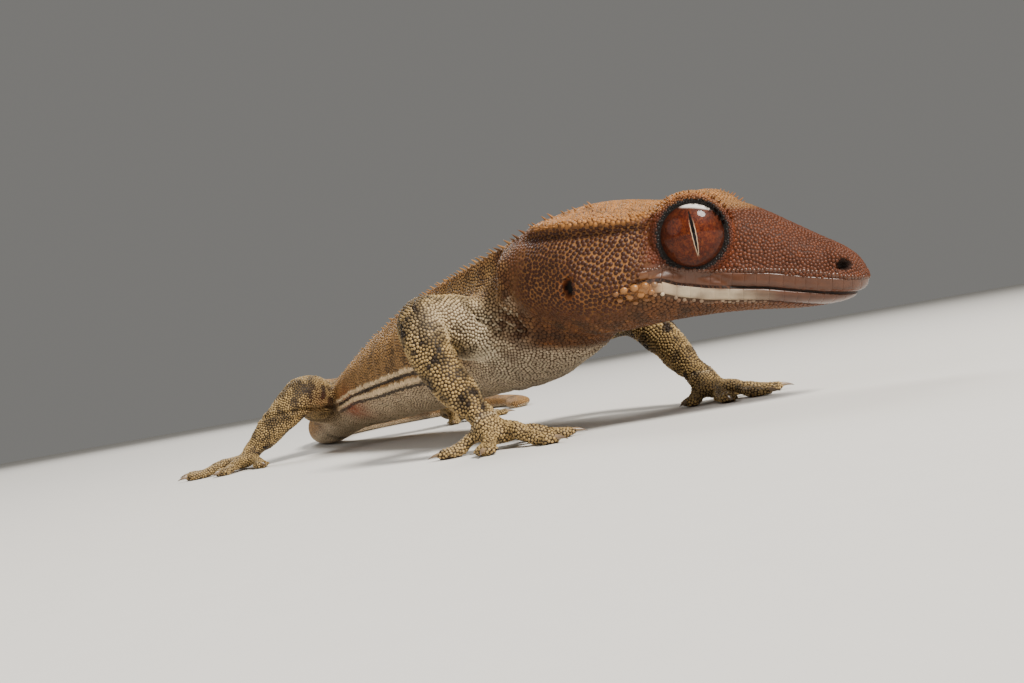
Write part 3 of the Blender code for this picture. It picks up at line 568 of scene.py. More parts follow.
def mesh_piece(name, points, faces):
    """A smooth mesh object from design-frame points and a list of face arrays, its place in its mesh."""
    mesh = bpy.data.meshes.new(name)
    mesh.vertices.add(len(points))
    mesh.vertices.foreach_set("co", to_row(points).astype(np.float32).ravel())
    corners = np.concatenate([f.ravel() for f in faces])
    sizes = np.concatenate([np.full(len(f), f.shape[1]) for f in faces])
    mesh.loops.add(len(corners))
    mesh.loops.foreach_set("vertex_index", corners.astype(np.int32))
    mesh.polygons.add(len(sizes))
    mesh.polygons.foreach_set("loop_start", (np.cumsum(sizes) - sizes).astype(np.int32))
    mesh.update(calc_edges=True)
    mesh.shade_smooth()
    obj = bpy.data.objects.new(name, mesh)
    bpy.context.scene.collection.objects.link(obj)
    return obj


def vertex_array(mesh, what="co"):
    """The mesh's vertex places or normals as rows."""
    values = np.empty(len(mesh.vertices) * 3, np.float32)
    mesh.vertices.foreach_get(what, values)
    return values.reshape(-1, 3).astype(float)


def set_attribute(mesh, name, values):
    """Writes one number for each vertex."""
    made = mesh.attributes.new(name, "FLOAT", "POINT")
    made.data.foreach_set("value", np.asarray(values, np.float32).ravel())


def keep_evaluated(obj):
    """Replaces the object's mesh with what its modifiers make of it."""
    graph = bpy.context.evaluated_depsgraph_get()
    mesh = bpy.data.meshes.new_from_object(obj.evaluated_get(graph))
    obj.modifiers.clear()
    old = obj.data
    obj.data = mesh
    bpy.data.meshes.remove(old)


# The hide


def head_share(local):
    """1 on the head and 0 on the rest, from the place in the head's frame."""
    return smooth_step(local[:, 0], -19.5, -16.0) * smooth_step(local[:, 2], -13.4, -12.2)


def limb_share(points, limb):
    """1 on the limb's flesh, falling off above it, and how far along the limb the place is, from 0 to 1."""
    joints = np.array(LIMBS[limb])
    gap, along = distance_to_path(points, joints[:, :3])
    radius = np.interp(along, np.linspace(0, 1, len(joints)), joints[:, 3])
    return smooth_step(gap - radius, 1.6, 0.5) * smooth_step(along, 0.18, 0.36), along


def limb_shares(points):
    """The shares of the forelegs, hind legs, fore feet and hind feet, and the nearness to a limb's end."""
    shares = np.zeros((5, len(points)))
    for limb in LIMBS:
        share, along = limb_share(points, limb)
        row = 0 if limb.startswith("fore") else 1
        for place, values in ((row, share), (row + 2, foot_share(points, limb)), (4, share * along)):
            shares[place] = np.maximum(shares[place], values)
    return shares


def foot_share(points, limb):
    """1 low down within a foot's reach of the palm."""
    palm = np.array(FEET[limb][0])
    reach = np.linalg.norm((points - palm)[:, :2], axis=1)
    return smooth_step(reach, 12.0, 10.5) * smooth_step(points[:, 2], 5.2, 3.6)


def eye_polar(points, side):
    """Distance from the eye's centre, and the angle off its outward direction in degrees."""
    _, _, outward = eye_axes(side)
    offset = points - eye_centre(side)
    reach = np.linalg.norm(offset, axis=1)
    return reach, np.degrees(np.arccos(np.clip(offset @ outward / np.maximum(reach, 1e-9), -1, 1)))


def lid_angle(points):
    """The angle off the nearer eye's outward direction in degrees, or 180 outside the reach of both lids."""
    polar = (eye_polar(points, side) for side in (-1, 1))
    return np.minimum(*(np.where(reach < LID_REACH, angle, 180.0) for reach, angle in polar))


def fused_hide(grain):
    """One skin over every form: a voxel remesh, smoothed, with the head refined once more."""
    points, quads, triangles, start = [], [], [], 0
    for _, rings in flesh_lofts():
        loft_points, loft_quads, loft_triangles = closed_loft(rings)
        points.append(loft_points)
        quads.append(loft_quads + start)
        triangles.append(loft_triangles + start)
        start += len(loft_points)
    faces = [np.concatenate(quads), np.concatenate(triangles)]
    hide = mesh_piece("gecko_hide", np.concatenate(points), faces)
    remesh = hide.modifiers.new("fuse", "REMESH")
    remesh.mode = "VOXEL"
    remesh.voxel_size = grain
    blend = hide.modifiers.new("blend", "SMOOTH")
    blend.factor = 0.5
    blend.iterations = 4
    keep_evaluated(hide)
    refine_head(hide)
    return hide


def refine_head(hide):
    """Splits each face of the head in four, following the curve of the skin."""
    places = to_design(vertex_array(hide.data))
    fine = head_share(to_head(places)) > 0.3
    work = bmesh.new()
    work.from_mesh(hide.data)
    work.verts.ensure_lookup_table()
    chosen = [edge for edge in work.edges if fine[edge.verts[0].index] and fine[edge.verts[1].index]]
    bmesh.ops.subdivide_edges(work, edges=chosen, cuts=1, use_grid_fill=True, smooth=0.6)
    work.to_mesh(hide.data)
    work.free()


def sculpt_hide(hide):
    """Moves the skin along its normals: mouth, nostrils, ears, crests, creases and folds, then the lids."""
    mesh = hide.data
    points = to_design(vertex_array(mesh))
    normals = vertex_array(mesh, "normal")
    local = to_head(points)
    mirrored = on_left(local)
    head = head_share(local)
    push = np.full(len(points), -0.07)
    gap = local[:, 2] - lip_level(local[:, 0])
    mouth = head * smooth_step(local[:, 0], -5.6, -4.4)
    # The mouth line, the roll over the upper lip and the lower lip
    for height, centre, width in ((-0.34, 0.0, 0.22), (0.14, 1.75, 0.35), (0.10, -0.75, 0.55)):
        push += height * mouth * band(gap - centre, width)
    # Over the nostril, ahead of the ear, and the fold behind the mouth's corner
    for height, centre, spread in (
        (0.30, (14.2, 3.0, -1.7), (1.0, 1.4, 0.7)), (0.25, (-10.2, 10.2, -5.2), (0.6, 2.0, 1.3)),
        (-0.35, (-6.2, 10.0, -6.4), (2.2, 3.0, 0.5)),
    ):
        push += height * near(mirrored, centre, spread) * head
    push -= (0.95 * pit_share(mirrored, *NOSTRIL) + pit_share(mirrored, *EAR)) * head
    crest = local[:, 2] - np.interp(local[:, 0], CREST_AHEAD, CREST_HEIGHTS)
    beside = head * smooth_step(local[:, 0], -3.0, -6.5) * smooth_step(mirrored[:, 1], 5.0, 6.5)
    push += beside * (0.34 * band(crest, 0.4) - 0.3 * band(crest + 0.95, 0.5))
    back_crest, along = back_crest_distance(points)
    push += 0.3 * (1 - head) * smooth_step(along, 0.75, 0.3) * band(back_crest, 0.45)
    push -= 0.8 * crease_share(points)
    neck = smooth_step(points[:, 0], 33.0, 38.0) * (1 - head)
    push += 0.12 * neck * ripple(points * (1.6, 1.0, 0.5), 2.6, 3)
    flank = smooth_step(points[:, 0], -34.0, -28.0) * (1 - neck) * (1 - head)
    push += 0.06 * flank * ripple(points * (1.4, 1.0, 0.5), 3.2, 5)
    upper, lower = flank_lines(points)
    lines = 0.2 * band(upper, 0.3) + 0.2 * band(lower, 0.35) - 0.28 * band(upper + 0.55, 0.26)
    push += flank_share(points) * lines
    moved = points + normals * push[:, None]
    for side in (-1, 1):
        moved = shape_lid(moved, side)
    moved[:, 2] = np.maximum(moved[:, 2], 0.0)
    mesh.vertices.foreach_set("co", to_row(moved).astype(np.float32).ravel())
    mesh.update()


def pit_share(points, centre, half):
    """1 inside an ellipsoid of the half sizes, falling to 0 at 1.35 of them: the sides of an opening."""
    return smooth_step(np.linalg.norm((points - np.array(centre)) / np.array(half), axis=-1), 1.35, 0.85)


def on_left(local):
    """The head-frame points with the right side mirrored onto the left."""
    return local * np.where(local[:, 1:2] < 0, (1.0, -1.0, 1.0), (1.0, 1.0, 1.0))


def back_crest_path(side):
    """Points along the crest on one side of the back, from the nape to the mid back, and the way outwards."""
    # The rows from the nape to the mid back, of 400 down to the tail's tip
    rows = smooth_rows(TRUNK_SECTIONS, 400)[4:150]
    side_way, up_way = frames_along(rows[:, :3], (0.0, 0.0, 1.0))
    across, above = -side * math.cos(math.radians(CREST_ANGLE)), math.sin(math.radians(CREST_ANGLE))
    out = across * side_way + above * up_way
    across, above = signed_power(across, 0.92), signed_power(above, 0.92)
    places = rows[:, :3] + across * rows[:, 3:4] * side_way + above * rows[:, 4:5] * up_way
    return places + out * rows[:, 6:7] * 0.7, out


def back_crest_distance(points):
    """Distance to the nearer back crest, and the share of its length at that place."""
    right, left = (distance_to_path(points, back_crest_path(side)[0][::6]) for side in (-1, 1))
    closer = right[0] < left[0]
    return np.where(closer, right[0], left[0]), np.where(closer, right[1], left[1])


def crease_share(points):
    """1 in the middle of the creases where the forelegs meet the chest, falling off over the width."""
    both = (points, points * (1.0, -1.0, 1.0))
    gaps = [distance_to_path(side, path)[0] for path in ARM_CREASES for side in both]
    return band(np.min(gaps, axis=0), CREASE_WIDTH)


def flank_lines(points):
    """Heights above the upper and above the lower pale line of the flank."""
    ahead, _, up = points.T
    return (up - np.interp(ahead, FLANK_AHEAD, heights) for heights in (UPPER_LINE, LOWER_LINE))


def shape_lid(points, side):
    """Sets the skin's distance from the eye by the angle off its axis: under the ball inside, then a lid."""
    reach, angle = eye_polar(points, side)
    ease = smooth_step(angle, 76.0, 62.0) * smooth_step(reach, 7.4, 6.0)
    wanted = np.interp(angle, LID_ANGLES, LID_DISTANCES)
    scale = (ease * wanted + (1 - ease) * reach) / np.maximum(reach, 1e-9)
    return eye_centre(side) + (points - eye_centre(side)) * scale[:, None]


def flank_share(points):
    """1 along the flanks between the legs, where the pale lines run."""
    ahead = points[:, 0]
    side = smooth_step(np.abs(points[:, 1]), 4.5, 6.0)
    return smooth_step(ahead, -24.0, -17.0) * smooth_step(ahead, 26.0, 20.0) * side


def hide_marks(points, normals):
    """The marks that the hide and the coat carry, each a share from 0 to 1 worked out from the place."""
    local = to_head(points)
    mirrored = on_left(local)
    x, y, z = mirrored.T
    ahead, across, up = points.T
    head = head_share(local)
    fore, hind, fore_feet, hind_feet, wrist = limb_shares(points)
    feet = np.maximum(fore_feet, hind_feet)
    limbs = np.maximum(np.maximum(fore, hind), feet)
    tail = smooth_step(ahead, -34.0, -40.0)
    trunk = (1 - head) * (1 - limbs)
    patches, blots, specks = (ripple(points, size, seed) for size, seed in ((4.5, 21), (2.2, 23), (0.9, 22)))

    # The crown, the edges of the crests and the lips, by the height from the crest's line and the mouth's
    crest_gap = z - np.interp(x, CREST_AHEAD, CREST_HEIGHTS)
    on_crest = head * (y > 5)
    crown = head * smooth_step(np.where(x < -2.5, crest_gap, z - 2.6), -0.25, 0.5)
    edge = band(crest_gap, 0.55) * smooth_step(x, -3.0, -7.0) * on_crest
    # Painted shadow under the overhang of the head crest
    crest_shadow = band(crest_gap + 0.9, 0.4) * smooth_step(x, -4.0, -8.0) * on_crest
    back_crest, along = back_crest_distance(points)
    back_edge = band(back_crest, 0.6) * smooth_step(along, 0.8, 0.3) * (1 - head)
    lip_gap = z - lip_level(x)
    on_lip = head * smooth_step(x, -5.4, -3.6)
    upper_lip = on_lip * smooth_step(lip_gap, 0.05, 0.2) * smooth_step(lip_gap, 1.7, 1.4)
    lower_lip = on_lip * smooth_step(lip_gap, -0.1, -0.3) * smooth_step(lip_gap, -1.9, -1.0)
    pale_lip = lower_lip * smooth_step(x, 9.5, 4.0) * smooth_step(x, -3.2, -2.0) * (0.85 + 0.35 * blots)
    # Painted shade in the mouth line between the lips
    mouth = on_lip * smooth_step(np.abs(lip_gap), 0.24, 0.12)
    under_jaw = head * smooth_step(lip_gap, -1.0, -2.2 - 3.0 * smooth_step(x, -4.0, -8.0))
    jaw_corner = head * near(mirrored, (-4.8, 9.0, -5.4), (2.2, 4.0, 1.1))

    # The head's colours run out along the neck, and the chest and the arms' inner sides are pale
    collar = smooth_step(x + 1.5 * blots, -29.0, -17.0) * (1 - limbs)
    belly = smooth_step(normals[:, 2], -0.25, -0.8) * trunk
    chest = (1 - 0.9 * collar) * near(points, (33.8, 0, 10.5), (4.6, 30.0, 4.4)) * (1 - head) * (1 - fore)
    chest = chest * smooth_step(up, 18.5, 15.0)
    inner_arm = fore * smooth_step(ahead - 0.25 * np.abs(across), 29.5, 33.0) * smooth_step(wrist, 0.75, 0.45)
    shoulder = near(points, (33.0, 0, 12.0), (8.0, 30.0, 8.0)) * (1 - collar)

    # Mottling with a painted shadow on the right thigh, and the rusty skin of the groin, the ear and round the
    # eye
    blotch = smooth_step(blots + 0.6 * patches, 0.15, 0.7)
    fleck = smooth_step(specks, 0.55, 1.0)
    bands = smooth_step(np.sin(ahead * 0.42 + across * 0.25) + 0.5 * patches, 0.5, 1.2) * tail
    thigh_shadow = hind * near(points, (-14.0, -9.0, 8.0), (5.0, 4.0, 4.0))
    groin = near(np.stack([ahead, -np.abs(across), up], -1), (-13.0, -8.3, 6.2), (4.6, 3.6, 2.8))
    groin = groin * (1 - 0.5 * smooth_step(np.abs(blots), 0.3, 0.0))
    angle = lid_angle(points)
    rust = np.clip(0.9 * groin + 0.8 * near(mirrored, EAR[0], (1.2, 2.5, 1.5)) * head, 0, 1)

    # The flank's two lines with the dark beside them, painted shade in the openings of the nostrils and ears,
    # and painted shade on the lids' inner rims
    upper, lower = flank_lines(points)
    on_flank = flank_share(points) * trunk
    ragged = 0.08 * specks
    lines = smooth_step(np.abs(upper) + ragged, 0.3, 0.16)
    lines = lines + 0.95 * smooth_step(np.abs(lower) + ragged, 0.42, 0.24)
    beside = smooth_step(np.abs(upper + 0.55), 0.3, 0.16) + smooth_step(np.abs(lower + 0.62), 0.26, 0.1)
    # Painted shade inside the nostrils and the ear openings
    nostril = pit_share(mirrored, *NOSTRIL) * head
    ear_pit_shade = pit_share(mirrored, EAR[0], (0.5, 2.0, 0.85)) * head
    # Painted shade on each lid's inner rim where it meets the eyeball, fading out over the lid
    rim = smooth_step(angle, 56.0, 54.0) + 0.55 * smooth_step(angle, 66.0, 54.0)
    marks = {
        "red": np.maximum(head, 0.9 * collar) * (1 - 0.5 * crown) * (1 - 0.15 * under_jaw),
        "tan": crown * smooth_step(x, 6.0, -3.0) * (0.8 + 0.4 * specks) + edge + 0.8 * back_edge
        + 0.3 * head * (1 - on_lip) * smooth_step(specks, 0.8, 1.2) + 1.3 * jaw_corner,
        "net": head * smooth_step(x, -2.5, -5.5) * smooth_step(crest_gap, 0.1, -0.5)
        * smooth_step(z, -9.5, -7.5) * (1 - 0.8 * under_jaw),
        "limb": limbs + 0.75 * shoulder,
        "pale": 0.55 * belly + 1.15 * chest + 0.75 * inner_arm + pale_lip,
        # The mottle also paints a shadow on the right thigh and shade under the jaw
        "mottle": 0.9 * fore * (0.75 * blotch + 0.45 * fleck) * (1 - 0.9 * inner_arm)
        + 0.6 * hind * (blotch + 0.3 * fleck) + 0.45 * feet * fleck + 0.6 * bands
        + 0.24 * trunk * (blotch + fleck) * (1 - belly) + 0.8 * thigh_shadow
        + 0.5 * under_jaw * smooth_step(x, 12.0, -2.0) * (0.75 + 0.4 * blots),
        "rust": np.maximum(rust, 0.3 * smooth_step(angle, 74.0, 58.0)),
        "stripe": on_flank * np.clip(lines, 0, 1),
        "lip": upper_lip,
        # Painted shade in the lids' inner rims, the nostrils, the arm creases, the mouth line, the ears and
        # under the head crest, with the dark lines beside the flank lines
        "dark": rim + 0.93 * nostril + 0.9 * crease_share(points) + mouth + 0.9 * on_flank * beside
        + ear_pit_shade + 0.4 * crest_shadow,
    }
    return {name: np.clip(values, 0, 1) for name, values in marks.items()}


def set_marks(mesh, marks, repeat=1):
    """Writes the marks, each value for as many vertices in a row as a scale has."""
    for name, values in marks.items():
        set_attribute(mesh, name, np.repeat(values, repeat))


# The coat of granular scales


def cell_pairs(points, reach):
    """Every pair of points closer than the reach, found through a grid of cells of that size."""
    cell = np.floor((points - points.min(axis=0)) / reach).astype(np.int64) + 1
    width = cell.max(axis=0) + 2
    key = (cell[:, 0] * width[1] + cell[:, 1]) * width[2] + cell[:, 2]
    order = np.argsort(key, kind="stable")
    keys, starts, counts = np.unique(key[order], return_index=True, return_counts=True)
    found = []
    for dx, dy, dz in itertools.product((-1, 0, 1), repeat=3):
        other = key + (dx * width[1] + dy) * width[2] + dz
        at = np.clip(np.searchsorted(keys, other), 0, len(keys) - 1)
        number = np.where(keys[at] == other, counts[at], 0)
        first = np.repeat(np.arange(len(points)), number)
        step = np.arange(len(first)) - np.repeat(np.cumsum(number) - number, number)
        second = order[np.repeat(starts[at], number) + step]
        keep = first < second
        first, second = first[keep], second[keep]
        close = np.linalg.norm(points[first] - points[second], axis=1) < reach
        found.append(np.stack([first[close], second[close]]))
    return np.concatenate(found, axis=1)


def scale_spacing(points):
    """Distance in millimetres from one granule to the next, by the part of the body."""
    local = to_head(points)
    head = head_share(local)
    x, z = local[:, 0], local[:, 2]
    on_head = np.interp(x, *HEAD_SPACING) - 0.07 * smooth_step(z, 0.5, 2.5) * smooth_step(x, 2.0, -2.0)
    on_head = on_head - 0.16 * smooth_step(lid_angle(points), 66.0, 56.0)
    fore, hind, fore_feet, hind_feet, _ = limb_shares(points)
    body = BODY_SPACING + 0.02 * near(points, (33.5, 0.0, 11.0), (7.0, 40.0, 8.0))
    body = body - 0.02 * np.maximum(fore, hind) - 0.04 * np.maximum(fore_feet, hind_feet)
    return np.clip(head * on_head + (1 - head) * body, NARROWEST_SPACING, WIDEST_SPACING)


def spread_points(hide, tree, share, seed):
    """Even places over the skin: a stratified random draw by area, then rounds in which near points part."""
    mesh = hide.data
    mesh.calc_loop_triangles()
    corners = np.empty(len(mesh.loop_triangles) * 3, np.int32)
    mesh.loop_triangles.foreach_get("vertices", corners)
    places = to_design(vertex_array(mesh))[corners.reshape(-1, 3)]
    area = np.linalg.norm(np.cross(places[:, 1] - places[:, 0], places[:, 2] - places[:, 0]), axis=1) / 2
    expected = area / (HEXAGON_AREA * (share * scale_spacing(places.mean(axis=1))) ** 2)
    draw = np.random.default_rng(seed)
    number = int(expected.sum())
    reach = np.cumsum(expected)
    chosen = np.searchsorted(reach, (np.arange(number) + draw.random(number)) / number * reach[-1])
    a, b, c = np.moveaxis(places[np.clip(chosen, 0, len(places) - 1)], 1, 0)
    first, second = np.sqrt(draw.random(number))[:, None], draw.random(number)[:, None]
    points, normals = settle((1 - first) * a + first * (1 - second) * b + first * second * c, tree)
    for turn in range(RELAX_ROUNDS):
        spacing = share * scale_spacing(points)
        first, second = cell_pairs(points, WIDEST_SPACING)
        apart = points[first] - points[second]
        gap = np.linalg.norm(apart, axis=1)
        wanted = REST_SHARE * (spacing[first] + spacing[second])
        force = STIFFNESS * np.clip(1 - gap / wanted, 0, 1) * wanted / np.maximum(gap, 1e-6)
        push = (apart * force[:, None]).T
        move = [np.bincount(first, p, number) - np.bincount(second, p, number) for p in push]
        move = np.stack(move, axis=1)
        move -= normals * (move * normals).sum(axis=1, keepdims=True)
        points = points + np.clip(move, -FARTHEST_STEP, FARTHEST_STEP)
        if turn % 3 == 2:
            points, normals = settle(points, tree)
    return points, normals


def settle(points, tree):
    """The nearest place on the skin to each point, and the skin's normal there."""
    found = [tree.find_nearest(place)[:2] for place in to_row(points).tolist()]
    return to_design([spot for spot, _ in found]), np.array([tuple(normal) for _, normal in found])


def tangents(normals, turn=0.0):
    """Two directions along the skin at each normal, turned by the given angles."""
    helper = np.where(np.abs(normals[:, 2:3]) > 0.8, (1.0, 0.0, 0.0), (0.0, 0.0, 1.0))
    first = unit(np.cross(helper, normals))
    second = np.cross(normals, first)
    turn = np.broadcast_to(turn, len(normals))[:, None]
    cosine, sine = np.cos(turn), np.sin(turn)
    return cosine * first + sine * second, cosine * second - sine * first


def stand(spots, normals, pattern, wide, deep, tall, turn=0.0):
    """The pattern set on the skin at each spot, turned about the normal, as wide, deep and tall as given."""
    shapes = spots[:, None]
    for way, size, share in zip((*tangents(normals, turn), normals), (wide, deep, tall), pattern.T):
        shapes = shapes + way[:, None] * (size[:, None] * share)[..., None]
    return shapes


def ring_faces(levels, sides):
    """Quads between rings of points, and a fan from the last ring to the point after it."""
    here = np.arange(levels * sides).reshape(levels, sides)
    after = np.roll(here, -1, axis=1)
    quads = np.stack([here[:-1], after[:-1], after[1:], here[1:]], axis=-1).reshape(-1, 4)
    return quads, np.stack([here[-1], after[-1], np.full(sides, levels * sides)], axis=-1)


def granule_pattern(sides=6):
    """A granule's points as shares of its radius and height, its faces, and 0 at its foot to 1 at its top."""
    angle = around(sides)
    foot, shoulder = (
        np.stack([wide * np.cos(angle), wide * np.sin(angle), np.full(sides, up)], axis=1)
        for wide, up in ((1.0, -0.35), (0.72, 0.68))
    )
    height = np.concatenate([np.zeros(sides), np.full(sides, 0.7), [1.0]])
    return np.concatenate([foot, shoulder, [[0.0, 0.0, 1.0]]]), ring_faces(2, sides), height


def coat_piece(name, scales, roots, root_normals, unwrap, finish, seed, broad=False):
    """One mesh from many like scales: their points, one scale's faces and heights, and marks at each root."""
    shapes, faces, height = scales
    number, size = shapes.shape[:2]
    offset = (np.arange(number) * size)[:, None, None]
    repeated = [(f[None] + offset).reshape(-1, f.shape[1]) for f in faces]
    piece = mesh_piece(name, shapes.reshape(-1, 3), repeated)
    if broad:
        set_marks(piece.data, hide_marks(shapes.reshape(-1, 3), np.repeat(root_normals, size, axis=0)))
    else:
        set_marks(piece.data, hide_marks(roots, root_normals), size)
    tone = np.random.default_rng(seed).random(number)
    set_attribute(piece.data, "tone", np.repeat(tone, size))
    set_attribute(piece.data, "height", np.tile(height, number))
    offsets = shapes - shapes.mean(axis=1, keepdims=True)
    flat = np.stack([(offsets * way[:, None]).sum(-1) for way in tangents(root_normals)], axis=-1)
    reach = np.abs(flat).max(axis=(1, 2), keepdims=True)
    places = (unwrap[:, None] + flat / np.maximum(reach, 1e-9) * PATCH_HALF).reshape(-1, 2)
    corners = np.empty(len(piece.data.loops), np.int32)
    piece.data.loops.foreach_get("vertex_index", corners)
    layer = piece.data.uv_layers.new(name="OFBake")
    layer.data.foreach_set("uv", places[corners].astype(np.float32).ravel())
    dress(piece, finish)


def dress(piece, finish, *nodes):
    """Gives a piece its material, its body and the solids that it stands for."""
    piece.data.materials.append(material(finish))
    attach(piece, "root")
    if nodes:
        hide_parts(*nodes)


class Unwrap:
    """Each form of the flesh rolled flat on its own strip of the unit square, read at any place near it."""

    def __init__(self, regions):
        lofts = [(region, rings) for region, rings in flesh_lofts() if region in regions]
        sizes = np.array([np.linalg.norm(np.diff(r[:, 0], axis=0), axis=1).sum() ** 0.5 for _, r in lofts])
        edges = np.concatenate([[0.0], np.cumsum(sizes) / sizes.sum()])
        self.tree = KDTree(sum(r.shape[0] * r.shape[1] for _, r in lofts))
        points, places, steps = [], [], []
        for (_, rings), left, right in zip(lofts, edges[:-1], edges[1:]):
            count, sides = rings.shape[:2]
            v, u = np.meshgrid(np.linspace(0.01, 0.99, count), np.arange(sides) / sides, indexing="ij")
            places.append(np.stack([left + (right - left) * (0.03 + 0.94 * u), v], -1).reshape(-1, 2))
            along, across = np.gradient(rings, axis=0), (np.roll(rings, -1, 1) - np.roll(rings, 1, 1)) / 2
            per = np.array([(right - left) * 0.94 / sides, 0.98 / (count - 1)])
            squares = np.stack([(across**2).sum(-1), (along**2).sum(-1)], -1).reshape(-1, 2, 1).clip(1e-6)
            steps.append(np.stack([across * per[0], along * per[1]], -2).reshape(-1, 2, 3) / squares)
            points.append(rings.reshape(-1, 3))
        self.points, self.places, self.steps = (np.concatenate(part) for part in (points, places, steps))
        for index, point in enumerate(self.points.tolist()):
            self.tree.insert(point, index)
        self.tree.balance()

    def read(self, points):
        """The nearest form point's place, moved on by the offset along the form's two directions."""
        at = np.array([self.tree.find(point)[1] for point in points.tolist()])
        offset = points - self.points[at]
        return np.clip(self.places[at] + np.einsum("nij,nj->ni", self.steps[at], offset), 0.003, 0.997)


def bare_places(points):
    """Where no granule grows: under the soles, in the lids and creases, on the lips and in the openings."""
    local = to_head(points)
    mirrored = on_left(local)
    gap = local[:, 2] - lip_level(local[:, 0])
    openings = np.maximum(pit_share(mirrored, *NOSTRIL), pit_share(mirrored, *EAR)) > 0.3
    lips = (local[:, 0] > -4.0) & (gap > -1.4) & (gap < 1.5)
    body = (points[:, 2] < 0.12) | (lid_angle(points) < 52.8) | (crease_share(points) > 0.45)
    return body | (head_share(local) > 0.5) & (openings | lips)


def granule_regions(points):
    """The place in COAT of the piece that each granule belongs to."""
    fore, hind, fore_feet, hind_feet, _ = limb_shares(points)
    region = np.full(len(points), 2)
    for number, chosen in (
        (1, points[:, 0] > 12.0), (3, points[:, 0] < -14.0), (4, points[:, 0] < -36.0),
        (5, np.maximum(fore, fore_feet) > 0.5), (6, np.maximum(hind, hind_feet) > 0.5),
        (0, head_share(to_head(points)) > 0.5),
    ):
        region[chosen] = number
    return region


def add_granules(tree, sizes):
    """Low domes over the whole skin, taller on the limbs and flat on the trunk, a piece for each region."""
    points, normals = spread_points(bpy.data.objects["gecko_hide"], tree, sizes.scale_spacing, sizes.seed)
    keep = ~bare_places(points)
    points, normals = points[keep], normals[keep]
    region = granule_regions(points)
    draw = np.random.default_rng(sizes.seed + 1)
    spacing = sizes.scale_spacing * scale_spacing(points)
    fore, hind, *_ = limb_shares(points)
    local = to_head(points)
    head = head_share(local)
    cheek = head * smooth_step(local[:, 0], -2.0, -6.0)
    chest = near(points, (34.5, 0, 9.8), (6.0, 30.0, 6.0)) * (1 - head)
    radius = spacing * draw.uniform(0.53, 0.6, len(points)) * (0.83 + 0.17 * head)
    rise = 0.16 + 0.17 * np.maximum(fore, 0.7 * hind) + 0.1 * chest + 0.05 * cheek + 0.05 * head
    tall = spacing * rise * draw.uniform(0.7, 1.25, len(points))
    pattern, faces, height = granule_pattern()
    turn = draw.uniform(0, 2 * math.pi, len(points))
    shapes = stand(points, normals, pattern, radius, radius, tall, turn)
    shapes[..., 2] = np.maximum(shapes[..., 2], 0.0)
    for index, (name, regions) in enumerate(COAT):
        at = region == index
        unwrap = Unwrap(regions).read(points[at])
        scales = (shapes[at], faces, height)
        coat_piece("granules_" + name, scales, points[at], normals[at], unwrap, GRANULE_FINISH, index)


# Crests, lips, eyes and claws


def horn_shapes(roots, ways, bends, radii, lengths, levels=4, sides=5):
    """Tapered spines: a ring whose radius falls as (1 - t) to the 0.8, carried to the tip on a bent line."""
    t = np.linspace(0.0, 1.0, levels + 1)[:-1]
    angle = around(sides)[:, None]
    first = unit(np.cross(ways, bends + 1e-6))
    second = np.cross(ways, first)
    run, bow = ways * lengths[:, None], bends * (lengths * 0.35)[:, None]
    centre = roots[:, None] + run[:, None] * t[:, None] + bow[:, None] * t[:, None] ** 2
    reach = radii[:, None] * (1 - t) ** 0.8
    ring = first[:, None, None] * np.cos(angle) + second[:, None, None] * np.sin(angle)
    shapes = (centre[:, :, None] + ring * reach[:, :, None, None]).reshape(len(roots), -1, 3)
    height = np.concatenate([np.repeat(t, sides), [1.0]])
    faces = [f[:, ::-1] for f in ring_faces(levels, sides)]
    return np.concatenate([shapes, (roots + run + bow)[:, None]], axis=1), faces, height


def on_skin(tree, points, ways):
    """Where lines from outside, run inwards against the ways, first meet the skin, and its normals there."""
    found = []
    for start, way in zip(to_row(points + unit(ways) * 12.0).tolist(), (-unit(ways)).tolist()):
        found.append(tree.ray_cast(start, way)[:2])
    for index, point in enumerate(to_row(points).tolist()):
        if found[index][0] is None:
            found[index] = tree.find_nearest(point)[:2]
    spots, normals = (np.array([tuple(pair[i]) for pair in found]) for i in (0, 1))
    return to_design(spots), normals


def crest_roots(draw):
    """Root, way out, bend and size of each spine: two rows on a brow, the head crest and the back crest."""
    turn = HEAD[:3, :3]
    rows = []
    for side in (-1, 1):
        for count, reach, out, rise in ((30, 4.3, 8.2, 0.0), (26, 4.75, 7.3, 0.4)):
            sweep = np.radians(np.linspace(166, 24, count)) + draw.normal(0, 0.02, count)
            cosine, sine, level = np.cos(sweep), np.sin(sweep), np.ones(count)
            local = np.stack([0.2 + reach * cosine, side * out * level, rise + 4.1 * sine], -1)
            way = np.stack([0.55 * cosine, side * level, 0.1 + 0.45 * sine], -1)
            bend = np.stack([0.3 * cosine, side * 0.1 * level, 0.2 * level], -1)
            size = (0.5 + 0.35 * smooth_step(np.degrees(sweep), 80.0, 40.0)) * draw.uniform(0.75, 1.2, count)
            rows.append((from_head(local), way @ turn.T, bend @ turn.T, size))
        step = np.linspace(0, 1, 30)
        local = np.stack([-4.6 - 13.8 * step, side * (8.9 + 0.9 * np.sin(step * 3.4)), 2.5 - 1.9 * step], -1)
        local = local + draw.normal(0, 0.07, local.shape)
        ways = ((-0.3, side * 0.95, 0.35), (-0.5, 0.0, -0.2))
        way, bend = (np.tile(v, (len(step), 1)) @ turn.T for v in ways)
        rows.append((from_head(local), way, bend, (0.45 + 0.25 * step) * draw.uniform(0.7, 1.25, len(step))))
        path, out = back_crest_path(side)
        run = run_along(path)
        count = 76
        at = np.searchsorted(run, np.linspace(0.5, run[-1] - 0.5, count) + draw.normal(0, 0.08, count))
        at = at.clip(0, len(path) - 1)
        spots = path[at] + draw.normal(0, 0.06, (count, 3))
        size = np.linspace(1.0, 0.35, count) * draw.uniform(0.7, 1.25, count)
        rows.append((spots, out[at] + (-0.35, 0.0, -0.15), np.tile((-0.6, 0.0, 0.0), (count, 1)), size))
    return (np.concatenate(part) for part in zip(*rows))


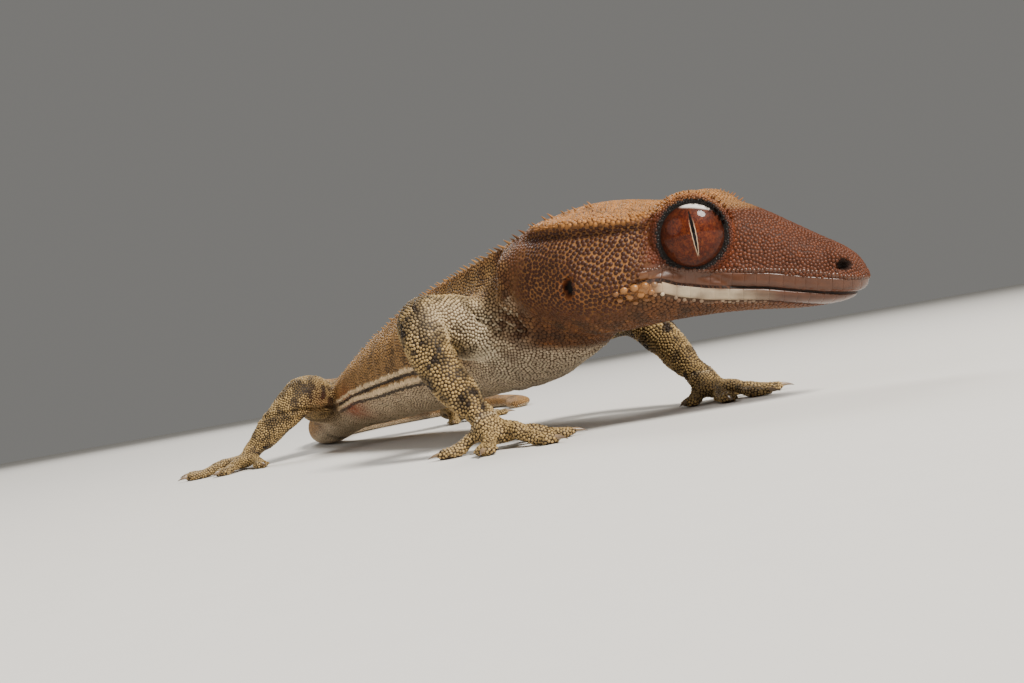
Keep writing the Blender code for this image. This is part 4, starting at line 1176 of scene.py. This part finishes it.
def add_crests(tree, sizes):
    """Short spines that lean out of the skin, longest at the nape and ahead of the eyes, in one piece."""
    draw = np.random.default_rng(sizes.seed + 2)
    roots, ways, bends, share = crest_roots(draw)
    spots, normals = on_skin(tree, roots, ways)
    lean = unit(normals * 0.5 + unit(ways) + draw.normal(0, 0.07, ways.shape))
    tall = sizes.crest_spine / MM * share
    scales = horn_shapes(spots - lean * 0.2, lean, bends, 0.22 * share**0.5, tall + 0.2)
    unwrap = Unwrap(("head", "trunk")).read(spots)
    coat_piece("crest_spines", scales, spots, normals, unwrap, GRANULE_FINISH, 31)


def lip_sheet(tree, count=260, rises=16):
    """Places on the skin beside the mouth: along the lips from corner to corner, and from below to above."""
    sweep = np.linspace(-1.0, 1.0, count)[:, None] * np.ones(rises)
    ahead = 16.6 - 20.8 * np.abs(sweep) ** 1.6
    across = 11.5 * np.sin(sweep * math.pi / 2)
    rise = np.linspace(-1.5, 2.0, rises)
    outward = np.stack([np.maximum(ahead - 4.0, 0.0) * 0.35, across, np.zeros_like(across)], -1)
    local = np.stack([ahead, across * 0.2, lip_level(ahead) + rise], -1).reshape(-1, 3)
    found = on_skin(tree, from_head(local), unit(outward.reshape(-1, 3)) @ HEAD[:3, :3].T)
    spots, normals = (values.reshape(count, rises, 3) for values in found)
    return spots, unit(normals), run_along(spots[:, rises // 2]), rise


def read_sheet(sheet, along, up):
    """The sheet's place and normal between its grid points, by bilinear mixing."""
    spots, normals, run, rise = sheet
    column = np.interp(along, run, np.arange(len(run)))
    row = np.interp(up, rise, np.arange(len(rise)))
    i, j = np.clip(column.astype(int), 0, len(run) - 2), np.clip(row.astype(int), 0, len(rise) - 2)
    s, t = (column - i)[..., None], (row - j)[..., None]
    near_side, far_side = (
        [(1 - s) * grid[i, k] + s * grid[i + 1, k] for grid in (spots, normals)] for k in (j, j + 1)
    )
    place, normal = ((1 - t) * here + t * there for here, there in zip(near_side, far_side))
    return place, unit(normal)


def lip_tiles(sheet, low, high, wide, tall, seed):
    """A row of low plates: a grid over each one's part of the sheet, raised (1 - 0.35 u^8)(1 - v^6)^0.5."""
    run = sheet[2]
    number = int(round(run[-1] / wide))
    joints = np.linspace(0, run[-1], number + 1)
    joints[1:-1] += np.random.default_rng(seed).normal(0, 0.1, number - 1)
    u, v = np.meshgrid(np.sin(np.linspace(-1.5, 1.5, 9)), np.sin(np.linspace(-1.5, 1.5, 7)), indexing="ij")
    middle, half = ((joints[1:] + sign * joints[:-1])[:, None, None] / 2 for sign in (1, -1))
    lower = 0.3 * smooth_step(np.abs(np.linspace(-1, 1, number)), 0.85, 1.0)[:, None, None]
    top = high - (high - low) * lower
    spots, normals = read_sheet(sheet, middle + u * half * 1.01, (low + top) / 2 + v * (top - low) / 2)
    raised = (1 - 0.35 * u**8) * (1 - v**6).clip(0) ** 0.5 * tall
    size = u.size
    points = (spots + normals * (raised + 0.02)[..., None]).reshape(number, size, 3)
    here = np.arange(size).reshape(u.shape)
    quads = np.stack([here[:-1, :-1], here[1:, :-1], here[1:, 1:], here[:-1, 1:]], -1).reshape(-1, 4)
    rim = np.concatenate([here[:-1, 0], here[-1, :-1], here[:0:-1, -1], here[0, :0:-1]])
    base = points[:, rim] - normals.reshape(number, size, 3)[:, rim] * 0.2
    shapes = np.concatenate([points, base, base.mean(axis=1, keepdims=True)], axis=1)
    foot = size + np.arange(len(rim))
    wall = np.stack([rim, foot, np.roll(foot, -1), np.roll(rim, -1)], -1)
    floor = np.stack([foot, np.full(len(rim), size + len(rim)), np.roll(foot, -1)], -1)
    height = np.concatenate([raised.ravel() / tall, np.zeros(len(rim) + 1)])
    faces = outward_faces(shapes, (quads, wall, floor), normals[:, 4, 3])
    return (shapes, faces, height), spots[:, 4, 3], normals[:, 4, 3]


def add_lips(tree, sizes):
    """Two rows of lip plates, the row of small glossy scales above them, and knobs at the mouth's corners."""
    sheet = lip_sheet(tree)
    reader = Unwrap(("head",))
    finish = "lip_scale_keratin"
    for name, low, high, wide, tall, seed in LIP_ROWS:
        scales, roots, normals = lip_tiles(sheet, low, high, wide, tall, seed)
        coat_piece(name, scales, roots, normals, reader.read(roots), finish, seed, broad=True)
    draw = np.random.default_rng(sizes.seed + 3)
    number = int(sheet[2][-1] / 0.42)
    along = np.linspace(0.5, sheet[2][-1] - 0.5, number)
    ahead = to_head(read_sheet(sheet, along, np.zeros(number))[0])[:, 0]
    level = np.interp(ahead, (-4.0, 2.0, 6.0, 12.0, 16.0), (1.1, 1.55, 1.7, 2.0, 1.55))
    spots, normals = read_sheet(sheet, along, level + draw.normal(0, 0.03, number))
    pattern, faces, height = granule_pattern(8)
    turn = draw.uniform(0, 6.28, number)
    reach, tall = 0.25 * draw.uniform(0.85, 1.15, number), 0.13 * draw.uniform(0.8, 1.2, number)
    shapes = stand(spots, normals, pattern, reach, reach, tall, turn)
    coat_piece("lip_ridge_scales", (shapes, faces, height), spots, normals, reader.read(spots), finish, 43)
    ahead, rise, reach = np.tile(np.array(KNOBS), (2, 1)).T
    side = np.repeat((-1.0, 1.0), len(KNOBS))
    places, ways = np.stack([ahead - 0.5, side * 6.0, rise], -1), side[:, None] * HEAD[:3, 1]
    spots, normals = on_skin(tree, from_head(places), ways)
    pattern, faces, height = dome_pattern()
    shapes = stand(spots, normals, pattern, reach, reach * 0.85, reach * 0.75)
    coat_piece("mouth_corner_knobs", (shapes, faces, height), spots, normals, reader.read(spots), finish, 44)


def outward_faces(shapes, faces, normals):
    """The faces, turned round where the first shape's middle face points against its normal."""
    a, b, c = (shapes[0, faces[0][len(faces[0]) // 2, i]] for i in range(3))
    return [f[:, ::-1] for f in faces] if np.cross(b - a, c - a) @ normals[0] < 0 else faces


def dome_pattern(sides=14, levels=6):
    """Rings of a half ellipsoid, as shares of its radius and height, with a sunken foot."""
    polar, angle = np.meshgrid(np.linspace(math.pi / 2 + 0.5, 0.25, levels), around(sides), indexing="ij")
    ring = np.stack([np.sin(polar) * np.cos(angle), np.sin(polar) * np.sin(angle), np.cos(polar)], -1)
    points = np.concatenate([ring.reshape(-1, 3), [[0.0, 0.0, 1.0]]])
    return points, ring_faces(levels, sides), np.clip(points[:, 2], 0, 1)


def add_eye(side, sizes):
    """An eyeball as rings about its outward direction, finest over the iris, with its marks as attributes."""
    forward, upward, outward = eye_axes(side)
    front_rings, back_rings = np.linspace(0.004, 0.95, 110), np.linspace(0.98, math.pi - 0.05, 30)
    polar = np.concatenate([front_rings, back_rings])[:, None, None]
    angle = around(200)[None, :, None]
    ways = np.sin(polar) * (np.cos(angle) * forward + np.sin(angle) * upward) + np.cos(polar) * outward
    points, quads, triangles = closed_loft(eye_centre(side) + sizes.eye_radius / MM * ways)
    name = "right" if side < 0 else "left"
    eye = mesh_piece("eye_ball_" + name, points, [quads, triangles])
    offset = points - eye_centre(side)
    ahead, rise, depth = offset @ forward, offset @ upward, offset @ outward
    front = smooth_step(depth, 0.3, 0.8)
    # The slit leans forward at its top; across and along are measured from its middle
    lean = math.radians(PUPIL_LEAN)
    across = ahead * math.cos(lean) + (rise - PUPIL_RISE) * math.sin(lean)
    along = (rise - PUPIL_RISE) * math.cos(lean) - ahead * math.sin(lean)
    share = along / PUPIL_HALF
    half = 0.16 * np.clip(1 - share**2, 0, 1) ** 0.7 * (1 + 0.2 * share + 0.07 * np.sin(along * 9.0))
    slit = np.abs(across) - half
    edge = smooth_step(np.abs(slit - 0.045), 0.05, 0.015)
    # The silver arc, a pale patch of the iris with a painted highlight over it, spans 34 degrees to each side
    # of its middle, just inside the iris's rim
    iris = sizes.iris_radius / MM
    reach = np.hypot(ahead, rise)
    off = np.abs(np.degrees(np.arctan2(rise, ahead)) - 86) / 34.0
    silver = smooth_step(reach / iris, 0.82 + 0.12 * off**2, 0.9 + 0.1 * off**2) * smooth_step(off, 1.0, 0.6)
    streaks = np.stack([across * 2.4, along * 0.9 + 0.25 * np.sin(across * 5.0), np.zeros(len(points))], -1)
    coarse, fine = (np.abs(ripple(streaks, size, seed)) for size, seed in ((1.3, 51), (0.9, 52)))
    for mark, values in (
        ("pupil", smooth_step(slit, 0.025, -0.025) * smooth_step(np.abs(along), 2.4, 2.1) * front),
        ("border", edge * smooth_step(along, 1.6, 0.2) * smooth_step(along, -2.6, -2.1) * front),
        ("silver", silver * front), ("rim", 1 - smooth_step(reach, iris + 0.05, iris - 0.12) * front),
        ("reach", reach / iris),
        ("vein", np.maximum(smooth_step(coarse, 0.22, 0.04), smooth_step(fine, 0.2, 0.04)) * front),
    ):
        set_attribute(eye.data, mark, values)
    dress(eye, "wet_eye", "eye_" + name)


def add_claws(sizes):
    """A short hooked horn ahead of each pad."""
    roots, ways = [], []
    for limb, (_, facing, digits, _) in FEET.items():
        for fan, reach in digits:
            turn = math.radians(facing + fan)
            way = np.array((math.cos(turn), math.sin(turn), 0.12))
            roots.append(digit_rows(limb, fan, reach)[-1][:3] - way * 0.5 + (0.0, 0.0, 0.16))
            ways.append(way)
    roots, ways = np.array(roots), unit(np.array(ways))
    number = len(roots)
    bends, level = np.tile((0.0, 0.0, -0.9), (number, 1)), np.ones(number)
    tall = (sizes.claw / MM + 0.5) * level
    shapes, faces, height = horn_shapes(roots, ways, bends, 0.3 * level, tall, 8, 8)
    shapes[..., 2] = np.maximum(shapes[..., 2], 0.02)
    unwrap = np.stack([(np.arange(number) + 0.5) / number, 0.5 * level], -1)
    coat_piece("claws", (shapes, faces, height), roots, ways, unwrap, "claw_horn", 51)


# Materials


def add_node(tree, kind, inputs=None, output=0, **settings):
    """One shader node with its settings and its inputs set to values or linked; gives one of its outputs."""
    node = tree.nodes.new("ShaderNode" + kind)
    for key, value in settings.items():
        setattr(node, key, value)
    for key, value in (inputs or {}).items():
        if isinstance(value, bpy.types.NodeSocket):
            tree.links.new(value, node.inputs[key])
        else:
            node.inputs[key].default_value = value
    return node.outputs[output] if node.outputs else None


def ink(value):
    """A colour from the panel by its name or from an sRGB hex code; an output stays as it is."""
    if not isinstance(value, str):
        return value
    if value.startswith("#"):
        return to_linear(value)
    return tuple(getattr(bpy.context.scene.gecko_colours, value))


def paint(tree, body, layers, blend="MIX"):
    """Each layer's colour laid over the body by its share: an attribute's name, a number or an output."""
    for share, over in layers:
        if isinstance(share, str):
            share = add_node(tree, "Attribute", output="Fac", attribute_name=share)
        mixed = {0: share, 6: ink(body), 7: ink(over)}
        body = add_node(tree, "Mix", mixed, 2, data_type="RGBA", blend_type=blend)
    return body


def vary(tree, body, *greys):
    """The body's colour times each grey in turn."""
    return paint(tree, body, [(1.0, grey) for grey in greys], "MULTIPLY")


def cloud(tree, size_mm, gain=1.0, base=0.0, detail=3.0):
    """Noise in lumps about this many millimetres across, times the gain, plus the base."""
    place = add_node(tree, "TexCoord", output="Object")
    pattern = {"Vector": place, "Scale": 1 / (size_mm * MM), "Detail": detail, "Roughness": 0.6}
    lumps = add_node(tree, "TexNoise", pattern, "Fac")
    return add_node(tree, "Math", {0: lumps, 1: gain, 2: base}, operation="MULTIPLY_ADD")


def relief(tree, height, strength, depth_mm, **settings):
    """The normal of a surface raised by this height."""
    inputs = {"Strength": strength, "Distance": depth_mm * MM, "Height": height}
    return add_node(tree, "Bump", inputs, **settings)


def skin_look(tree):
    """Bare skin between granules: matte living skin with creases finer than the granules."""
    # The mottle layer also paints shadow on the right thigh and shade under the jaw; the near-black layer
    # paints shade in the openings, the mouth line, the lid rims, the creases and under the head crest
    body = paint(tree, "gap_brown", (
        ("red", "#3A1C0C"), ("tan", "#4E2C14"), ("limb", "gap_limb"), ("net", "gap_net"),
        ("pale", "gap_pale"), ("mottle", "#1E1710"), ("rust", "rust"), ("stripe", "cream"),
        ("lip", "#5C3522"), ("dark", "shade_and_line_black"),
    ))
    # Blotches of about 1.5 mm, as skin over muscle is never one tone
    body = vary(tree, body, cloud(tree, 1.5, 0.5, 0.75))
    # Creases about 0.24 mm apart, finer than the granules
    pattern = {"Vector": add_node(tree, "TexCoord", output="Object"), "Scale": 1 / (0.24 * MM)}
    cells = add_node(tree, "TexVoronoi", pattern, "Distance", feature="F1")
    creases = relief(tree, cells, 0.5, 0.05, invert=True)
    return {"Base Color": body, "Roughness": 0.6, "Specular IOR Level": 0.22, "Normal": creases}


def granule_look(tree):
    """Granular scales of keratin: dry and satin, darker or lighter one by one, with painted shade towards each
    foot that leaves the tops lighter.
    """
    # The mottle layer also paints shadow on the right thigh and shade under the jaw; the near-black layer
    # paints shade in the openings, the mouth line, the lid rims, the creases and under the head crest
    body = paint(tree, "scale_brown", (
        ("red", "scale_red"), ("tan", "scale_tan"), ("limb", "scale_limb"), ("pale", "scale_pale"),
        ("mottle", "scale_dark"), ("rust", "rust"), ("stripe", "cream"), ("lip", "lip"), ("dark", "shade_and_line_black"),
    ))
    # A dark top inside a light ring, which makes the net of the cheek
    height = add_node(tree, "Attribute", output="Fac", attribute_name="height")
    top = add_node(tree, "MapRange", {0: height, 1: 0.24, 2: 0.5})
    body = paint(tree, body, (("net", paint(tree, "gap_net", ((top, "scale_cheek"),))),))
    # Painted shade: each granule is darker towards its foot, where it sinks among its neighbours, except on
    # the cheek's net
    foot = add_node(tree, "MapRange", {0: height, 2: 0.8, 3: 0.62, 4: 1.06})
    foot = paint(tree, foot, (("net", "#FFFFFF"),))
    tone = add_node(tree, "Attribute", output="Fac", attribute_name="tone")
    tone = add_node(tree, "Math", {0: tone, 1: 0.42, 2: 0.8}, operation="MULTIPLY_ADD")
    body = vary(tree, body, foot, tone, cloud(tree, 3.5, 0.6, 0.7))
    grain = relief(tree, cloud(tree, 0.12), 0.25, 0.02)
    return {"Base Color": body, "Roughness": 0.5, "Specular IOR Level": 0.28, "Normal": grain}


def lip_look(tree):
    """Lip plates: smooth keratin, damp-looking, brown above and whitish below the mouth."""
    body = paint(tree, "lip", (("pale", "#B5A286"), ("tan", "scale_tan")))
    tone = add_node(tree, "Attribute", output="Fac", attribute_name="tone")
    tone = add_node(tree, "Math", {0: tone, 1: 0.1, 2: 0.93}, operation="MULTIPLY_ADD")
    body = vary(tree, body, tone, cloud(tree, 1.0, 0.8, 0.6))
    return {
        "Base Color": body, "Roughness": 0.38, "Specular IOR Level": 0.5,
        "Coat Weight": 0.12, "Coat Roughness": 0.2, "Normal": relief(tree, cloud(tree, 0.3), 0.3, 0.03),
    }


def eye_look(tree):
    """An eye under its clear scale: a copper iris with a dark net, a slit edged in cream, a wet shine."""
    flecks = add_node(tree, "MapRange", {0: cloud(tree, 0.35, detail=5.0), 1: 0.4, 2: 0.7})
    vein = add_node(tree, "Attribute", output="Fac", attribute_name="vein")
    vein = add_node(tree, "Math", {0: vein, 1: 0.8}, operation="MULTIPLY")
    reach = add_node(tree, "Attribute", output="Fac", attribute_name="reach")
    outer = add_node(tree, "MapRange", {0: reach, 1: 0.6, 4: 0.75})
    body = paint(tree, "iris", (
        (flecks, "iris_light"), (vein, "#2C0E06"), (outer, "#2A130A"), ("silver", "silver"),
        ("border", "#CDB396"), ("pupil", "#050404"), ("rim", "#0C0705"),
    ))
    return {
        "Base Color": body, "Roughness": 0.5, "Specular IOR Level": 0.1, "Coat Weight": 0.4,
        "Coat Roughness": 0.04, "Coat IOR": 1.36, "Normal": relief(tree, flecks, 0.3, 0.03),
    }


def claw_look(tree):
    """Claw horn: hard smooth keratin, darker to the tip."""
    body = paint(tree, "#9C8468", (("height", "claw"),))
    return {"Base Color": body, "Roughness": 0.28, "Specular IOR Level": 0.5}


def board_look(tree):
    """Matte studio board with a barely seen grain."""
    body = vary(tree, "floor", cloud(tree, 3.0, 0.04, 0.98))
    return {"Base Color": body, "Roughness": 0.85, "Specular IOR Level": 0.2}


LOOKS = {
    "gecko_bare_skin": skin_look, GRANULE_FINISH: granule_look, "lip_scale_keratin": lip_look,
    "wet_eye": eye_look, "claw_horn": claw_look, "matte_studio_board": board_look,
}


def material(name):
    """The material of that name, made once: its look on one surface shader."""
    made = bpy.data.materials.get(name)
    if made is None:
        made = bpy.data.materials.new(name)
        made.use_nodes = True
        tree = made.node_tree
        tree.nodes.clear()
        shader = add_node(tree, "BsdfPrincipled", LOOKS[name](tree))
        add_node(tree, "OutputMaterial", {"Surface": shader})
    return made


# Studio


CAMERA_AT = (130.0, -63.5, 8.0)
CAMERA_HEADING = 59.0
CAMERA_PITCH = 1.5
CAMERA_ROLL = 10.0
FOCAL_PIXELS = 1000.0
PHOTO_WIDTH = 1024.0
SENSOR = 36.0

# Lamps aimed between the head and the shoulders: metres to the camera's right, up and ahead of it, diameter,
# watts and tint
LAMPS_AIM = (42.0, 4.0, 12.0)
LAMPS = {
    "key": ((0.3, 0.5, -0.3), 0.2, 7.5, (1.0, 0.96, 0.9)),
    "fill": ((-0.45, 0.2, -0.3), 0.5, 0.8, (0.94, 0.96, 1.0)),
    "back": ((-0.2, 0.4, 0.5), 0.3, 2.4, (1.0, 0.98, 0.95)),
}


def camera_axes():
    """Right, up and forward directions of a camera turned by heading, tipped up by pitch and rolled."""
    heading, pitch, roll = (math.radians(v) for v in (CAMERA_HEADING, CAMERA_PITCH, CAMERA_ROLL))
    level = np.array((math.cos(heading), math.sin(heading), 0.0))
    ahead = np.array((-math.sin(heading), math.cos(heading), 0.0))
    upward = np.array((0.0, 0.0, 1.0))
    above = upward * math.cos(pitch) - ahead * math.sin(pitch)
    return (
        math.cos(roll) * level - math.sin(roll) * above,
        math.sin(roll) * level + math.cos(roll) * above,
        ahead * math.cos(pitch) + upward * math.sin(pitch),
    )


def add_camera(right, up, forward):
    """The camera at the photograph's viewing angle."""
    camera = bpy.data.cameras.new("photo_camera")
    camera.sensor_width = SENSOR
    camera.lens = SENSOR * FOCAL_PIXELS / PHOTO_WIDTH
    camera.clip_start, camera.clip_end = 0.005, 20.0
    holder = bpy.data.objects.new("photo_camera", camera)
    bpy.context.scene.collection.objects.link(holder)
    rows = zip(right, up, -forward, to_row(CAMERA_AT))
    holder.matrix_world = Matrix([*rows, (0, 0, 0, 1)])
    bpy.context.scene.camera = holder


def add_lamps(right, forward):
    """Soft discs round the object and a dim pale world."""
    aim = to_row(LAMPS_AIM)
    for name, ((across, up, ahead), size, energy, tint) in LAMPS.items():
        data = bpy.data.lights.new(name, "AREA")
        data.shape, data.size, data.energy, data.color = "DISK", size, energy, tint
        lamp = bpy.data.objects.new(name, data)
        bpy.context.scene.collection.objects.link(lamp)
        lamp.location = Vector(aim + right * across + forward * ahead + (0, 0, up))
        lamp.rotation_mode = "QUATERNION"
        lamp.rotation_quaternion = (Vector(aim) - lamp.location).to_track_quat("-Z", "Y")
    world = bpy.data.worlds.new("studio")
    world.use_nodes = True
    sky = world.node_tree.nodes["Background"].inputs
    sky["Color"].default_value, sky["Strength"].default_value = to_linear("#E4E2DD"), 0.25
    bpy.context.scene.world = world


def build_studio(sizes):
    """The camera, the lamps, and a disc for the floor just under the soles."""
    right, up, forward = camera_axes()
    add_camera(right, up, forward)
    add_lamps(right, forward)
    sides = 96
    rim = sizes.floor / MM * np.stack([np.cos(around(sides)), np.sin(around(sides)), np.zeros(sides)], -1)
    points = np.concatenate([rim, [[0.0, 0.0, 0.0]]]) - (0.0, 0.0, 0.02)
    _, fan = ring_faces(1, sides)
    floor = mesh_piece("studio_floor", points, [fan])
    floor.data.materials.append(material("matte_studio_board"))


# Operators, panel and registration


def skin_tree():
    """The hide's faces, to find places on the skin."""
    return BVHTree.FromObject(bpy.data.objects["gecko_hide"], bpy.context.evaluated_depsgraph_get())


class GECKO_OT_hide(bpy.types.Operator):
    """Build the fused skin and sculpt its lids, mouth, nostrils, ears and folds"""

    bl_idname = "gecko.hide"
    bl_label = "Hide"

    def execute(self, context):
        hide = fused_hide(context.scene.gecko_sizes.hide_grain)
        sculpt_hide(hide)
        hide.data.shade_smooth()
        points, normals = to_design(vertex_array(hide.data)), vertex_array(hide.data, "normal")
        set_marks(hide.data, hide_marks(points, normals))
        dress(hide, "gecko_bare_skin", *FLESH_NODES)
        return {"FINISHED"}


class GECKO_OT_granules(bpy.types.Operator):
    """Cover the skin with granular scales"""

    bl_idname = "gecko.granules"
    bl_label = "Granular scales"

    def execute(self, context):
        add_granules(skin_tree(), context.scene.gecko_sizes)
        return {"FINISHED"}


class GECKO_OT_crests(bpy.types.Operator):
    """Set the spines of the brows, the head crest and the back crest"""

    bl_idname = "gecko.crests"
    bl_label = "Crest spines"

    def execute(self, context):
        add_crests(skin_tree(), context.scene.gecko_sizes)
        return {"FINISHED"}


class GECKO_OT_lips(bpy.types.Operator):
    """Set the lip plates, the glossy row above them and the knobs at the mouth's corners"""

    bl_idname = "gecko.lips"
    bl_label = "Lip scales"

    def execute(self, context):
        add_lips(skin_tree(), context.scene.gecko_sizes)
        return {"FINISHED"}


class GECKO_OT_eyes(bpy.types.Operator):
    """Build both eyeballs with their slit pupils"""

    bl_idname = "gecko.eyes"
    bl_label = "Eyes"

    def execute(self, context):
        for side in (-1, 1):
            add_eye(side, context.scene.gecko_sizes)
        return {"FINISHED"}


class GECKO_OT_claws(bpy.types.Operator):
    """Set a claw ahead of each toe pad"""

    bl_idname = "gecko.claws"
    bl_label = "Claws"

    def execute(self, context):
        add_claws(context.scene.gecko_sizes)
        return {"FINISHED"}


class GECKO_OT_studio(bpy.types.Operator):
    """Lay the floor and place the lights and the camera"""

    bl_idname = "gecko.studio"
    bl_label = "Studio"

    def execute(self, context):
        build_studio(context.scene.gecko_sizes)
        return {"FINISHED"}


OPERATORS = (
    GECKO_OT_hide, GECKO_OT_granules, GECKO_OT_crests, GECKO_OT_lips, GECKO_OT_eyes, GECKO_OT_claws,
    GECKO_OT_studio,
)


class GECKO_PT_sidebar(bpy.types.Panel):
    bl_label = "Crested gecko"
    bl_idname = "GECKO_PT_sidebar"
    bl_space_type = "VIEW_3D"
    bl_region_type = "UI"
    bl_category = "Gecko"

    def draw(self, context):
        for settings in (context.scene.gecko_sizes, context.scene.gecko_colours):
            for key in settings.__annotations__:
                self.layout.prop(settings, key)
        for operator in OPERATORS:
            self.layout.operator(operator.bl_idname)


CLASSES = (GeckoSizes, GeckoColours, *OPERATORS, GECKO_PT_sidebar)


def register():
    for cls in CLASSES:
        bpy.utils.register_class(cls)
    bpy.types.Scene.gecko_sizes = PointerProperty(type=GeckoSizes)
    bpy.types.Scene.gecko_colours = PointerProperty(type=GeckoColours)


def unregister():
    del bpy.types.Scene.gecko_colours
    del bpy.types.Scene.gecko_sizes
    for cls in reversed(CLASSES):
        bpy.utils.unregister_class(cls)


def main():
    register()
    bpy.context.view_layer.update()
    for operator in (
        bpy.ops.gecko.hide, bpy.ops.gecko.granules, bpy.ops.gecko.crests, bpy.ops.gecko.lips,
        bpy.ops.gecko.eyes, bpy.ops.gecko.claws, bpy.ops.gecko.studio,
    ):
        operator()


if __name__ == "__main__":
    main()
